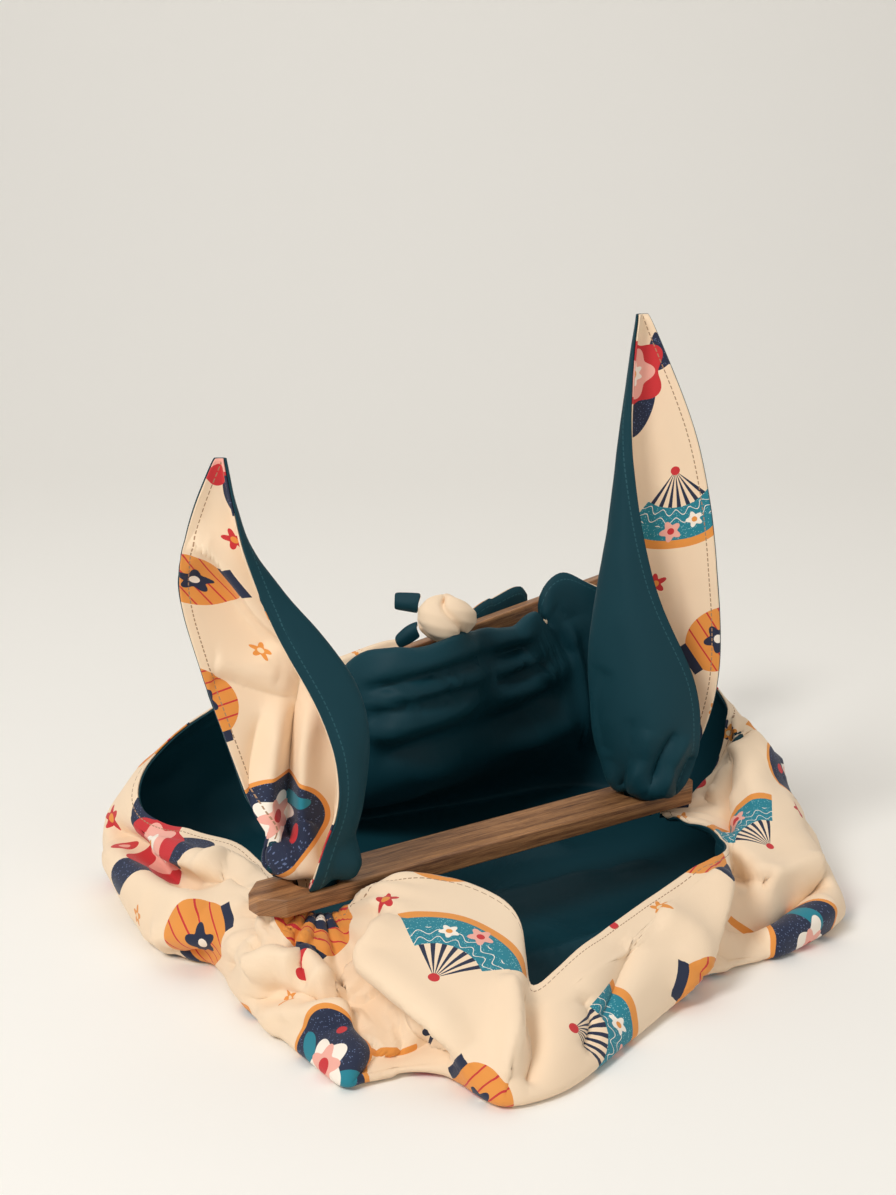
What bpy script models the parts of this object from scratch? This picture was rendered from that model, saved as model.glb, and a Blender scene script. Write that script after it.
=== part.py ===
"""Lined cloth carrier bag with two wooden bar handles, slumped on a table.

A soft square bag of printed cloth with a plain lining. Four long pointed ears rise from its corners.
The two front ears stand up through the holes of the front bar, and the two rear ears are passed through
the rear bar and knotted. Units are metres in the scene, millimetres in the tables.
+X is to the right, +Y to the back, +Z up. The bag rests on z = 0.
"""

import math

import bmesh
import bpy
from mathutils import Matrix, Vector
from mathutils.bvhtree import BVHTree

MM = 0.001
WELD = 0.00002  # metres

# Cloth
CLOTH = 1.2  # thickness of each of the two layers
LAYER_GAP = 0.3  # between the printed cloth and its lining
HALF_GAP = LAYER_GAP / 2
BASE_Z = HALF_GAP + CLOTH  # middle of the two layers where the base lies on the table
BASE_CENTRE = (5.0, -5.0)
STEPS_AROUND = 2  # grid steps from one section to the next
STEPS_UP = (1, 1, 2, 2, 2, 1, 1, 1, 2)  # grid steps between the rings of a section
BASE_RINGS = (0.45, 0.88)  # rings of the flat base, as shares of the outline

# Wooden bars
BAR_LONG = 300.0
BAR_WIDE = 31.0
BAR_THICK = 10.0
BAR_CHAMFER = 11.0  # cut-off corners
BAR_ARRIS = 1.0  # rounding of the long edges
HOLE_RADIUS = 12.5
HOLE_OFFSET = 112.0  # from the middle of the bar

FRONT_BAR_CENTRE = (12.0, -36.0, 55.0)
FRONT_BAR_YAW = 36.2
REAR_BAR_CENTRE = (56.0, 187.0, 122.0)
REAR_BAR_YAW = 45.5
REAR_BAR_RISE = 4.0  # its right end is a little higher
REAR_BAR_ROLL = 82.0  # it stands nearly on its long edge


def between(a, b, share):
    return tuple(p + share * (q - p) for p, q in zip(a, b))


def by_rear_bar(along, behind, z):
    """A point given by how far it is along the rear bar and behind it, in mm from the bar's middle."""
    turn = math.radians(REAR_BAR_YAW)
    x, y, _ = REAR_BAR_CENTRE
    return (
        x + along * math.cos(turn) - behind * math.sin(turn),
        y + along * math.sin(turn) + behind * math.cos(turn),
        z,
    )


def section(name, floor, low, mid, high, rim, crest=None, brim=None, dip=None):
    """One upright section of the bag's wall, from the table to the rim, as points in mm."""
    brim = brim or between(high, rim, 0.5)
    crest = crest or between(high, brim, 0.5)
    dip = dip or between(brim, rim, 0.5)
    inner = [between(BASE_CENTRE, floor, share) + (BASE_Z,) for share in BASE_RINGS]
    return inner + [floor + (BASE_Z,), low, mid, high, crest, brim, dip, rim]


def pocket(name, floor, low, mid, along, ridge, bottom, top, front=16):
    """A section with a ridge in front of the rear bar, that goes under the bar and up to a rim behind it."""
    high = by_rear_bar(along, -front - 5, ridge - 5)
    crest = by_rear_bar(along, -front, ridge)
    brim = by_rear_bar(along, 7 - front, bottom + 1)
    dip = by_rear_bar(along, 5, bottom)
    return section(name, floor, low, mid, high, by_rear_bar(along, 17, top), crest, brim, dip)


# The sections run anticlockwise seen from above, from the front left corner past the front flap.
SECTIONS = [
    # front left corner: cloth gathered up to the left hole of the front bar
    section(
        "gather left", (-134, -81), (-131, -89, 13), (-118, -97, 28), (-105, -101, 36), (-90, -100, 45),
    ),
    section(
        "gather puff", (-117, -125), (-118, -131, 15), (-107, -141, 32), (-95, -128, 40), (-89, -107, 45),
    ),
    section(
        "corner facet", (-96, -162), (-94, -163, 13), (-85, -162, 27), (-80, -142, 38), (-84, -113, 45),
    ),
    section(
        "corner facet low", (-70, -200), (-69, -198, 11), (-66, -186, 23), (-68, -156, 35), (-78, -115, 45),
    ),
    section(
        "front corner", (-57, -217), (-54, -214, 11), (-50, -200, 21), (-60, -163, 32), (-72, -113, 45),
    ),
    section("under flap", (-35, -204), (-34, -199, 9), (-35, -187, 16), (-51, -163, 27), (-66, -109, 44)),
    # front flap
    section("flap edge", (-8, -209), (-20, -200, 20), (-48, -176, 37), (-56, -144, 47), (-45, -109, 62)),
    section("flap left", (2, -221), (-6, -213, 20), (-28, -188, 40), (-37, -150, 52), (-30, -105, 63)),
    section("flap middle", (8, -229), (5, -219, 18), (-7, -189, 38), (-12, -146, 51), (-10, -103, 60)),
    section("flap right", (15, -234), (14, -223, 15), (12, -200, 33), (12, -161, 46), (12, -114, 56)),
    section("flap fold", (22, -232), (21, -226, 12), (22, -213, 26), (24, -180, 39), (27, -134, 50)),
    section("drop", (33, -227), (31, -222, 10), (29, -213, 18), (28, -197, 25), (28, -176, 31)),
    # front wall
    section("front 1", (52, -211), (52, -206, 11), (52, -196, 21), (52, -174, 31), (51, -147, 37)),
    section("front 2", (85, -161), (85, -158, 14), (85, -151, 27), (83, -135, 38), (79, -114, 43)),
    section("front 3", (116, -112), (120, -106, 14), (121, -98, 28), (118, -87, 41), (113, -76, 48)),
    section("front ridge", (134, -97), (137, -91, 18), (139, -82, 32), (142, -66, 44), (143, -45, 52)),
    section("front crease", (151, -84), (151, -75, 9), (150, -58, 18), (151, -38, 30), (141, -18, 51)),
    section("corner low", (183, -58), (181, -56, 16), (170, -47, 30), (159, -24, 40), (132, 8, 48)),
    # right corner: cloth gathered up to the right hole of the front bar
    section(
        "right corner", (214, -28), (209, -24, 20), (196, -14, 36), (174, 4, 50), (118, 28, 44),
        brim=(147, 18, 47),
    ),
    section(
        "right puff", (213, -8), (204, 4, 28), (190, 34, 50), (170, 54, 74), (115, 36, 44),
        brim=(146, 46, 46),
    ),
    section(
        "right puff middle", (212, 6), (206, 16, 28), (193, 42, 50), (173, 62, 79), (141, 55, 45),
        brim=(156, 61, 64),
    ),
    section(
        "right puff back", (209, 22), (206, 30, 26), (195, 52, 50), (178, 70, 82), (153, 68, 64),
        brim=(168, 73, 80),
    ),
    # back right wall
    section("right wall 1", (203, 44), (204, 50, 20), (196, 62, 48), (180, 74, 76), (161, 84, 93)),
    section("right wall 2", (180, 92), (184, 97, 18), (180, 106, 50), (168, 114, 80), (150, 118, 104)),
    section("right wall 3", (146, 138), (150, 144, 18), (148, 150, 56), (138, 152, 98), (120, 154, 130)),
    section(
        "rear hump", (112, 170), (114, 176, 20), (112, 176, 62), (103, 175, 108), by_rear_bar(8, -23, 154),
        by_rear_bar(18, -34, 130), by_rear_bar(13, -29, 143), by_rear_bar(10, -26, 150),
    ),
    section(
        "rear seam", (84, 190), (86, 190, 18), (90, 181, 58), by_rear_bar(-1, -28, 112),
        by_rear_bar(-6, -17, 149),
        by_rear_bar(-3, -26, 126), by_rear_bar(-5, -24, 138), by_rear_bar(-6, -21, 145),
    ),
    # back left wall: a ridge of it lies in front of the rear bar
    section(
        "rear cross", (64, 189), (68, 189, 16), (81, 172, 55), by_rear_bar(-17, -25, 113),
        by_rear_bar(-18, -10, 98),
        by_rear_bar(-18, -22, 122), by_rear_bar(-18, -18, 119), by_rear_bar(-18, -14, 108),
    ),
    section(
        "rear under", (51, 185), (56, 185, 16), (71, 166, 53), by_rear_bar(-28, -22, 116),
        by_rear_bar(-28, 2, 88),
        by_rear_bar(-29, -17, 121), by_rear_bar(-29, -11, 102), by_rear_bar(-28, -5, 92),
    ),
    pocket("rear 1", (38, 180), (44, 180, 16), (61, 160, 52), along=-42, ridge=128, bottom=92, top=139),
    pocket("rear 2", (8, 164), (16, 162, 16), (46, 145, 52), along=-56, ridge=131, bottom=93, top=140),
    pocket("rear 3", (-26, 150), (-14, 146, 16), (28, 127, 50), along=-73, ridge=130, bottom=99.3, top=126),
    pocket("rear 4", (-60, 134), (-46, 128, 16), (6, 108, 44), along=-92, ridge=130, bottom=90, top=112),
    pocket(
        "rear 5", (-94, 118), (-84, 116, 14), (-14, 84, 42), along=-116, ridge=128, bottom=89, top=95, front=28,
    ),
    # the ridge goes on past the left end of the rear bar
    section(
        "bar end 1", (-108, 114), (-106, 108, 16), (-46, 62, 46), (-35, 52, 112), (-63, 94, 93),
        (-37, 59, 127), (-44, 68, 98), (-57, 81, 88),
    ),
    section(
        "bar end 2", (-118, 110), (-122, 112, 16), (-84, 78, 50), (-73, 66, 106), (-72, 99, 90),
        (-69, 72, 121), (-68, 82, 98), (-70, 90, 89),
    ),
    section(
        "bar end 3", (-125, 107), (-131, 112, 17), (-110, 100, 50), (-94, 92, 92), (-81, 107, 92),
        (-88, 93, 102), (-83, 97, 99), (-81, 102, 95),
    ),
    # left corner: cloth gathered up to the knot on the rear bar
    section(
        "left corner 1", (-132, 102), (-140, 112, 18), (-136, 114, 50), (-117, 112, 82), (-92, 115, 94),
    ),
    section("left corner 2", (-160, 84), (-168, 90, 18), (-158, 96, 50), (-136, 104, 78), (-108, 110, 96)),
    # front left wall
    section("left wall 1", (-186, 64), (-195, 68, 20), (-182, 76, 50), (-160, 84, 76), (-128, 96, 97)),
    section("left wall 2", (-202, 50), (-210, 50, 24), (-202, 56, 46), (-186, 64, 70), (-156, 78, 94)),
    section("left wall 3", (-206, 32), (-214, 34, 34), (-208, 42, 48), (-198, 42, 62), (-186, 40, 74)),
    section("left wall 4", (-203, 14), (-212, 20, 32), (-207, 22, 44), (-198, 20, 54), (-189, 16, 60)),
    section("left wall 5", (-193, -6), (-204, 0, 26), (-190, -6, 35), (-182, -12, 46), (-178, 0, 53)),
    section("left wall 6", (-177, -48), (-183, -42, 22), (-167, -32, 32), (-152, -36, 45), (-153, -14, 50)),
    section("left wall 7", (-160, -72), (-165, -70, 18), (-151, -68, 33), (-134, -60, 42), (-125, -24, 46)),
    section("left wall 8", (-147, -79), (-148, -83, 15), (-134, -86, 31), (-118, -82, 40), (-104, -64, 44)),
]

# Creases and ridges of the wall: ends and height are in mm, a height below zero is a trough.
FOLDS = [
    # name, from, to, height, half width
    ("left valley", (-208, 26, 40), (-130, -76, 36), -7.0, 9.0),
    ("left ridge", (-165, -22, 48), (-104, -92, 42), 5.0, 9.0),
    ("puff crease", (-118, -128, 14), (-62, -146, 30), -7.0, 8.0),
    ("puff roll", (-112, -124, 32), (-80, -134, 36), 6.0, 9.0),
    ("gather crease 1", (-104, -118, 42), (-92, -158, 24), -5.0, 7.0),
    ("gather crease 2", (-70, -120, 44), (-62, -162, 30), -6.0, 7.0),
    ("flap crown", (-14, -128, 54), (2, -206, 28), 5.0, 22.0),
    ("front dimple", (70, -168, 20), (104, -100, 38), -4.0, 16.0),
    ("front crown", (100, -130, 14), (126, -66, 46), 4.0, 16.0),
    ("right crease", (146, -66, 20), (200, -16, 34), -8.0, 12.0),
    ("right ridge", (160, -20, 42), (208, -20, 22), 4.0, 10.0),
    ("right puff ridge", (140, 60, 70), (186, 30, 50), 4.0, 12.0),
    ("rear hollow", (2, 108, 68), (70, 164, 70), 4.0, 7.0),
    ("rear swoop", (-10, 112, 50), (78, 172, 52), -6.0, 9.0),
    ("rear foot hollow", (-40, 124, 24), (66, 176, 26), 5.0, 10.0),
]

# Front ears. Each row is a level of the ear: its height and the points across it in plan.
# The cloth runs from its first edge to the fold and on to its second edge, printed side within the fold.
LEFT_EAR = [
    # z, edge 1, middle 1, fold, middle 2, edge 2
    (47, (-88, -98), (-79, -94), (-69, -101), (-74, -107), (-81, -111)),
    (62, (-88, -98), (-79, -94), (-69, -100), (-74, -107), (-81, -111)),
    (69, (-99, -98), (-84, -92), (-64, -100), (-68, -109), (-77, -114)),
    (86, (-108, -97), (-89, -87), (-60, -98), (-61, -111), (-72, -118)),
    (106, (-115, -96), (-92, -86), (-57, -96), (-55, -110), (-64, -118)),
    (131, (-123, -97), (-96, -86), (-53, -96), (-54, -109), (-66, -117)),
    (157, (-131, -98), (-101, -88), (-53, -97), (-62, -108), (-75, -114)),
    (182, (-138, -100), (-109, -91), (-68, -98), (-77, -107), (-90, -112)),
    (208, (-144, -103), (-118, -95), (-90, -99), (-94, -106), (-102, -110)),
    (232, (-143, -106), (-126, -101), (-109, -101), (-107, -106), (-110, -111)),
    (258, (-134, -108), (-127, -104), (-119, -104), (-115, -108), (-115, -112)),
    (270, (-129, -107), (-125, -105), (-120, -104), (-117, -107), (-117, -110)),
    (281, (-124, -106), (-122, -105), (-120, -105), (-119, -106), (-119, -108)),
]
RIGHT_EAR = [
    (47, (110, 23), (103, 26), (94, 31), (102, 35), (110, 37)),
    (62, (110, 23), (103, 25), (94, 30), (102, 35), (109, 37)),
    (68, (121, 18), (104, 15), (88, 30), (103, 42), (122, 37)),
    (76, (131, 16), (105, 8), (79, 30), (103, 44), (132, 36)),
    (90, (134, 15), (105, 3), (73, 30), (104, 45), (138, 35)),
    (110, (134, 16), (103, 2), (70, 29), (105, 46), (144, 33)),
    (134, (130, 16), (100, 4), (69, 30), (106, 45), (147, 32)),
    (162, (115, 15), (92, 8), (71, 30), (107, 44), (146, 31)),
    (190, (104, 16), (88, 12), (76, 29), (106, 42), (143, 30)),
    (218, (98, 18), (87, 17), (81, 29), (105, 40), (140, 30)),
    (252, (93, 20), (87, 21), (85, 30), (104, 38), (134, 31)),
    (280, (91, 22), (88, 25), (88, 31), (102, 37), (126, 32)),
    (310, (92, 24), (91, 27), (92, 32), (100, 35), (113, 33)),
    (337, (94, 25), (94, 28), (95, 31), (97, 33), (101, 33)),
]
EAR_STEPS_ACROSS = 3
EAR_FOLDS = [
    ("left roll", (-91, -92, 150), (-82, -96, 72), 4.0, 8.0),
    ("right roll", (-72, -96, 158), (-74, -98, 72), 4.0, 8.0),
    ("roll valley", (-80, -92, 160), (-79, -96, 74), -4.0, 6.0),
    ("upper hollow", (-132, -100, 216), (-104, -92, 182), -4.0, 10.0),
    ("upper ridge", (-122, -98, 204), (-92, -90, 176), 3.0, 8.0),
    ("foot crease 1", (96, 10, 96), (100, 26, 66), -4.0, 6.0),
    ("foot crease 2", (114, 12, 100), (106, 26, 66), -4.0, 6.0),
]

# Rear ears: gathered strands through the rear bar's holes, knotted
STRAND_RADIUS = 5.5
LEFT_STRAND_START = [(-100, 112, 103), (-74, 110, 113), (-42, 120, 121)]
RIGHT_STRAND_START = [(95.5, 177.5, 132), (110, 200, 132), (127, 224, 132), (139, 245, 130)]
KNOT_SIZE = (18.0, 15.0, 14.0)
KNOT_TURNS = 0.08  # how deep the cloth's turns are, as a share of the size
KNOT_OUT = 18.0  # in front of the hole
KNOT_UP = 31.0
KNOT_ALONG = 9.0  # towards the end of the bar
STRAND_SIDE = 5.9  # the strand lies against the side of the hole nearer the middle of the bar
SEAT = 0.3  # clearance of a piece from what carries it
FREE_ENDS = [
    # rows across each free end, from its root at the knot to its tip
    [
        [(-19, 0, 4), (-19, -2, 9), (-17, 1, 15)],
        [(-25, 1, 5), (-25, -2, 9), (-24, 2, 15)],
        [(-33, 2, 6), (-33, 0, 10), (-33, 3, 15)],
    ],
    [
        [(-19, -7, -9), (-21, -9, -4), (-20, -6, -1)],
        [(-25, -8, -13), (-27, -10, -8), (-26, -7, -3)],
        [(-31, -7, -16), (-33, -8, -13), (-33, -6, -10)],
    ],
]

PRINTED = ("printed_cotton", (0.80, 0.60, 0.38, 1.0), 0.85)
LINING = ("teal_lining", (0.012, 0.075, 0.095, 1.0), 0.6)
WOOD = ("stained_wood", (0.26, 0.13, 0.065, 1.0), 0.55)


def clear_scene():
    for o in list(bpy.data.objects):
        bpy.data.objects.remove(o, do_unlink=True)


def material(name, colour, roughness):
    found = bpy.data.materials.get(name)
    if found:
        return found
    made = bpy.data.materials.new(name)
    made.use_nodes = True
    shader = made.node_tree.nodes["Principled BSDF"]
    shader.inputs["Base Color"].default_value = colour
    shader.inputs["Roughness"].default_value = roughness
    shader.inputs["Metallic"].default_value = 0.0
    return made


def add_object(name, data, finish, collection):
    o = bpy.data.objects.new(name, data)
    o.data.materials.append(material(*finish))
    collection.objects.link(o)
    return o


def curve_through(p0, p1, p2, p3, t):
    """A smooth curve from p1 to p2, with its neighbours p0 and p3."""
    return tuple(
        0.5
        * (
            2 * b
            + (c - a) * t
            + (2 * a - 5 * b + 4 * c - d) * t * t
            + (3 * b - a - 3 * c + d) * t * t * t
        )
        for a, b, c, d in zip(p0, p1, p2, p3)
    )


def smooth_line(points, steps, closed=False):
    """The points with others between them on a smooth curve. steps is one number or one for each span."""
    n = len(points)
    spans = n if closed else n - 1
    if isinstance(steps, int):
        steps = (steps,) * spans
    line = []
    for i in range(spans):
        if closed:
            four = [points[(i + k) % n] for k in (-1, 0, 1, 2)]
        else:
            four = [points[min(max(i + k, 0), n - 1)] for k in (-1, 0, 1, 2)]
        line += [curve_through(*four, k / steps[i]) for k in range(steps[i])]
    if not closed:
        line.append(points[-1])
    return line


def smooth_grid(rows, steps_along_rows, steps_between_rows, closed):
    """A grid of points through the rows: finer along each row, then finer from row to row."""
    fine = [smooth_line(row, steps_along_rows) for row in rows]
    columns = [
        smooth_line([row[j] for row in fine], steps_between_rows, closed)
        for j in range(len(fine[0]))
    ]
    return [list(row) for row in zip(*columns)]


def from_segment(p, a, b):
    """How far p is from the segment a-b, and how far along it, 0 to 1."""
    along = b - a
    t = min(max((p - a).dot(along) / along.length_squared, 0.0), 1.0)
    return (p - a - along * t).length, t


def add_folds(bm, folds):
    """Move the points near each fold's line along their normals, least at the line's ends."""
    bm.normal_update()
    moves = []
    for v in bm.verts:
        move = 0.0
        for _, start, end, height, half_width in folds:
            off, t = from_segment(v.co, Vector(start) * MM, Vector(end) * MM)
            fade = 0.35 + 0.65 * math.sin(math.pi * t)
            move += height * MM * fade * math.exp(-((off / (half_width * MM)) ** 2))
        moves.append(v.normal * move)
    for v, move in zip(bm.verts, moves):
        v.co += move


def grid_mesh(grid, closed, cap_first_ring=False):
    """A bmesh of the grid's points in mm, with the same diagonal in every four-sided face."""
    bm = bmesh.new()
    rows = [[bm.verts.new(Vector(p) * MM) for p in row] for row in grid]
    count = len(rows)
    for i in range(count if closed else count - 1):
        a, b = rows[i], rows[(i + 1) % count]
        for j in range(len(a) - 1):
            bm.faces.new((a[j], b[j], b[j + 1], a[j + 1]))
    if cap_first_ring:
        bm.faces.new([row[0] for row in reversed(rows)])
    return bm


def cloth_pair(outer_name, lining_name, bm, collection):
    """Two layers from one surface: the printed cloth on the side of the normals, the lining on the other."""
    bmesh.ops.triangulate(bm, faces=bm.faces[:], quad_method="ALTERNATE", ngon_method="BEAUTY")
    bm.normal_update()
    for name, side, finish in ((outer_name, 1, PRINTED), (lining_name, -1, LINING)):
        layer = bm.copy()
        for v in layer.verts:
            v.co += v.normal * (side * HALF_GAP * MM)
        layer.normal_update()
        mesh = bpy.data.meshes.new(name)
        layer.to_mesh(mesh)
        layer.free()
        mesh.shade_smooth()
        o = add_object(name, mesh, finish, collection)
        shell = o.modifiers.new("thickness", "SOLIDIFY")
        shell.thickness = CLOTH * MM
        shell.offset = side
        shell.use_even_offset = False
        shell.use_rim = True
    bm.free()


def make_body(collection):
    grid = smooth_grid(SECTIONS, STEPS_UP, STEPS_AROUND, closed=True)
    for row in grid:
        for j, (x, y, z) in enumerate(row):
            row[j] = (x, y, max(z, BASE_Z))
    bm = grid_mesh(grid, closed=True, cap_first_ring=True)
    add_folds(bm, FOLDS)
    for v in bm.verts:
        v.co.z = max(v.co.z, BASE_Z * MM)
    cloth_pair("body_printed_cloth", "body_lining", bm, collection)


def make_ear(name, levels, collection):
    rows = [[(x, y, z) for x, y in points] for z, *points in levels]
    grid = smooth_grid(rows, EAR_STEPS_ACROSS, 1, closed=False)
    across = [list(row) for row in zip(*grid)]
    bm = grid_mesh(across, closed=False)
    add_folds(bm, EAR_FOLDS)
    cloth_pair(name + "_printed_cloth", name + "_lining", bm, collection)


def add_loop(curve, points):
    spline = curve.splines.new("POLY")
    spline.points.add(len(points) - 1)
    for p, (x, y) in zip(spline.points, points):
        p.co = (x * MM, y * MM, 0.0, 1.0)
    spline.use_cyclic_u = True


def bar_place(centre, yaw, rise=0.0, roll=0.0):
    turn = (
        Matrix.Rotation(math.radians(yaw), 4, "Z")
        @ Matrix.Rotation(math.radians(-rise), 4, "Y")
        @ Matrix.Rotation(math.radians(roll), 4, "X")
    )
    return Matrix.Translation(Vector(centre) * MM) @ turn


def make_bar(name, place, collection):
    """A flat outline with cut-off corners and two round holes, extruded, with rounded edges."""
    x, y, c = BAR_LONG / 2, BAR_WIDE / 2, BAR_CHAMFER
    outline = [
        (-x + c * 0.75, -y), (x - c * 0.75, -y), (x - c * 0.2, -y + c * 0.35), (x, -y + c),
        (x, y - c), (x - c * 0.2, y - c * 0.35), (x - c * 0.75, y), (-x + c * 0.75, y),
        (-x + c * 0.2, y - c * 0.35), (-x, y - c), (-x, -y + c), (-x + c * 0.2, -y + c * 0.35),
    ]
    curve = bpy.data.curves.new(name, "CURVE")
    curve.dimensions = "2D"
    curve.fill_mode = "BOTH"
    add_loop(curve, outline)
    sides = 20
    for middle in (-HOLE_OFFSET, HOLE_OFFSET):
        turns = [2 * math.pi * k / sides for k in range(sides)]
        add_loop(curve, [(middle + HOLE_RADIUS * math.cos(a), HOLE_RADIUS * math.sin(a)) for a in turns])
    curve.extrude = BAR_THICK / 2 * MM
    blank = bpy.data.objects.new(name + "_blank", curve)
    collection.objects.link(blank)
    bpy.context.view_layer.update()
    shape = blank.evaluated_get(bpy.context.evaluated_depsgraph_get())
    mesh = bpy.data.meshes.new_from_object(shape)
    bpy.data.objects.remove(blank)
    weld_and_turn(mesh)
    mesh.materials.clear()
    o = add_object(name, mesh, WOOD, collection)
    o.matrix_world = place
    arris = o.modifiers.new("arris", "BEVEL")
    arris.width = BAR_ARRIS * MM
    arris.segments = 1
    arris.limit_method = "ANGLE"
    arris.angle_limit = math.radians(60)


def weld_and_turn(mesh):
    """Join the loose caps to the sides and turn every face outwards."""
    bm = bmesh.new()
    bm.from_mesh(mesh)
    bmesh.ops.remove_doubles(bm, verts=bm.verts[:], dist=WELD)
    bmesh.ops.recalc_face_normals(bm, faces=bm.faces[:])
    bm.to_mesh(mesh)
    bm.free()


def make_strand(name, points, collection):
    """A gathered strand of cloth: a soft tube along a smooth line."""
    line = smooth_line([tuple(p / MM) for p in points], 3)
    curve = bpy.data.curves.new(name, "CURVE")
    curve.dimensions = "3D"
    spline = curve.splines.new("POLY")
    spline.points.add(len(line) - 1)
    for p, (x, y, z) in zip(spline.points, line):
        p.co = (x * MM, y * MM, z * MM, 1.0)
    curve.bevel_depth = STRAND_RADIUS * MM
    curve.bevel_resolution = 2
    curve.use_fill_caps = True
    blank = bpy.data.objects.new(name + "_blank", curve)
    collection.objects.link(blank)
    bpy.context.view_layer.update()
    shape = blank.evaluated_get(bpy.context.evaluated_depsgraph_get())
    mesh = bpy.data.meshes.new_from_object(shape)
    bpy.data.objects.remove(blank)
    weld_and_turn(mesh)
    mesh.materials.clear()
    add_object(name, mesh, PRINTED, collection)


def make_knot(name, centre, collection):
    """A pulled knot: a ball with three turns of cloth round it. Gives back a tree of its surface."""
    bm = bmesh.new()
    bmesh.ops.create_uvsphere(bm, u_segments=18, v_segments=10, radius=1.0)
    for v in bm.verts:
        angle = math.atan2(v.co.y, v.co.x)
        turns = 1.0 + KNOT_TURNS * math.cos(3 * angle + 2.4 * v.co.z)
        v.co = Vector([c * turns * size * MM for c, size in zip(v.co, KNOT_SIZE)])
    bmesh.ops.translate(bm, verts=bm.verts[:], vec=centre)
    surface = BVHTree.FromBMesh(bm)
    mesh = bpy.data.meshes.new(name)
    bm.to_mesh(mesh)
    bm.free()
    mesh.shade_smooth()
    add_object(name, mesh, PRINTED, collection)
    return surface


def make_free_end(name, centre, turn, rows, surface, collection):
    """A short free end of an ear, seated against its knot."""
    points = [[centre / MM + turn @ Vector(p) for p in row] for row in rows]
    inwards = turn @ Vector((1, 0, 0))
    clear = 2 * SEAT * MM
    step = 0.1
    while min(surface.find_nearest((p + inwards * step) * MM)[3] for p in points[0]) > clear:
        points = [[p + inwards * step for p in row] for row in points]
    grid = smooth_grid([[tuple(p) for p in row] for row in points], 2, 2, closed=False)
    cloth_pair(name + "_printed_cloth", name + "_lining", grid_mesh(grid, closed=False), collection)


def make_rear_ear(name, place, way, start, turn, collection):
    """An ear of the back: a strand through its hole of the rear bar, a knot and the free ends beside it.

    way is 1 where the strand comes out at the front of the bar, and -1 where it comes out behind.
    """
    out = place.to_3x3() @ Vector((0, 0, way))
    along = place.to_3x3() @ Vector((-way, 0, 0))
    up = Vector((0, 0, 1))
    through = place @ Vector((-way * HOLE_OFFSET * MM, 0, 0)) - along * STRAND_SIDE * MM
    knot = through + (out * KNOT_OUT + up * KNOT_UP + along * KNOT_ALONG) * MM
    foot = KNOT_SIZE[2] * (1 + KNOT_TURNS) + SEAT + 0.5  # its end isn't quite square to the knot
    points = [Vector(p) * MM for p in start]
    points += [through - out * 8 * MM, through + out * 8 * MM]
    points += [through + (out * 16 + up * 6 + along * 6) * MM, knot - up * foot * MM]
    make_strand(name + "_strand", points, collection)
    surface = make_knot(name + "_knot", knot, collection)
    for number, rows in enumerate(FREE_ENDS, 1):
        make_free_end(f"{name}_end_{number}", knot, turn, rows, surface, collection)


def centre_on_base(collection):
    """Move everything so that the middle of the part's box is over x = y = 0."""
    bpy.context.view_layer.update()
    graph = bpy.context.evaluated_depsgraph_get()
    shapes = [(o.matrix_world, o.evaluated_get(graph).bound_box) for o in collection.objects]
    corners = [place @ Vector(corner) for place, box in shapes for corner in box]
    middle = [(min(c[k] for c in corners) + max(c[k] for c in corners)) / 2 for k in (0, 1)]
    for o in collection.objects:
        o.matrix_world = Matrix.Translation((-middle[0], -middle[1], 0.0)) @ o.matrix_world


def main():
    clear_scene()
    collection = bpy.data.collections.new("pouch_bag")
    bpy.context.scene.collection.children.link(collection)
    make_body(collection)
    make_ear("ear_front_left", LEFT_EAR, collection)
    make_ear("ear_front_right", RIGHT_EAR, collection)
    front = bar_place(FRONT_BAR_CENTRE, FRONT_BAR_YAW)
    rear = bar_place(REAR_BAR_CENTRE, REAR_BAR_YAW, REAR_BAR_RISE, REAR_BAR_ROLL)
    make_bar("bar_front", front, collection)
    make_bar("bar_rear", rear, collection)
    straight = Matrix.Identity(3)
    backwards = Matrix.Rotation(math.radians(-90), 3, "Z")
    make_rear_ear("ear_rear_left", rear, 1, LEFT_STRAND_START, straight, collection)
    make_rear_ear("ear_rear_right", rear, -1, RIGHT_STRAND_START, backwards, collection)
    centre_on_base(collection)


main()
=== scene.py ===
"""Lined cloth bag with two wooden bar handles, slumped on a table.

Lengths in the tables are in mm, and the scene is in metres. The bag's outline and main folds are those
of its solids. Everything finer is added here: pleats, soft wrinkles, hems, stitches, print and grain.
"""

import math
from functools import partialmethod

import bmesh
import bpy
import numpy as np
from mathutils import Matrix, Vector, noise


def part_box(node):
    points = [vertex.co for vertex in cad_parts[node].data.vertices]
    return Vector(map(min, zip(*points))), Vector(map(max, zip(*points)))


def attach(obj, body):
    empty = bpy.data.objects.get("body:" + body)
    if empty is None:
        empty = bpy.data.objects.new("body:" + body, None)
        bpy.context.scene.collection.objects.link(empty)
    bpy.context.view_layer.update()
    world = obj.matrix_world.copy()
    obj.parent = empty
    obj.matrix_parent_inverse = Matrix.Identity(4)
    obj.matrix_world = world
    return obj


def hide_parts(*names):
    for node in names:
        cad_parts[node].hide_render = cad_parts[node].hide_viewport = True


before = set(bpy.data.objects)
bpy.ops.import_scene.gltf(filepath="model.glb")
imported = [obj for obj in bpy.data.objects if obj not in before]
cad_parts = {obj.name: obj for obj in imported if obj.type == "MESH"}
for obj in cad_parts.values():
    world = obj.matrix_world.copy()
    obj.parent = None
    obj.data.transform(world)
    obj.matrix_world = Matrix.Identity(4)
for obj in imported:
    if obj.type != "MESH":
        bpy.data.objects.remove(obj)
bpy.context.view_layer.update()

MM = 0.001

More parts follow.
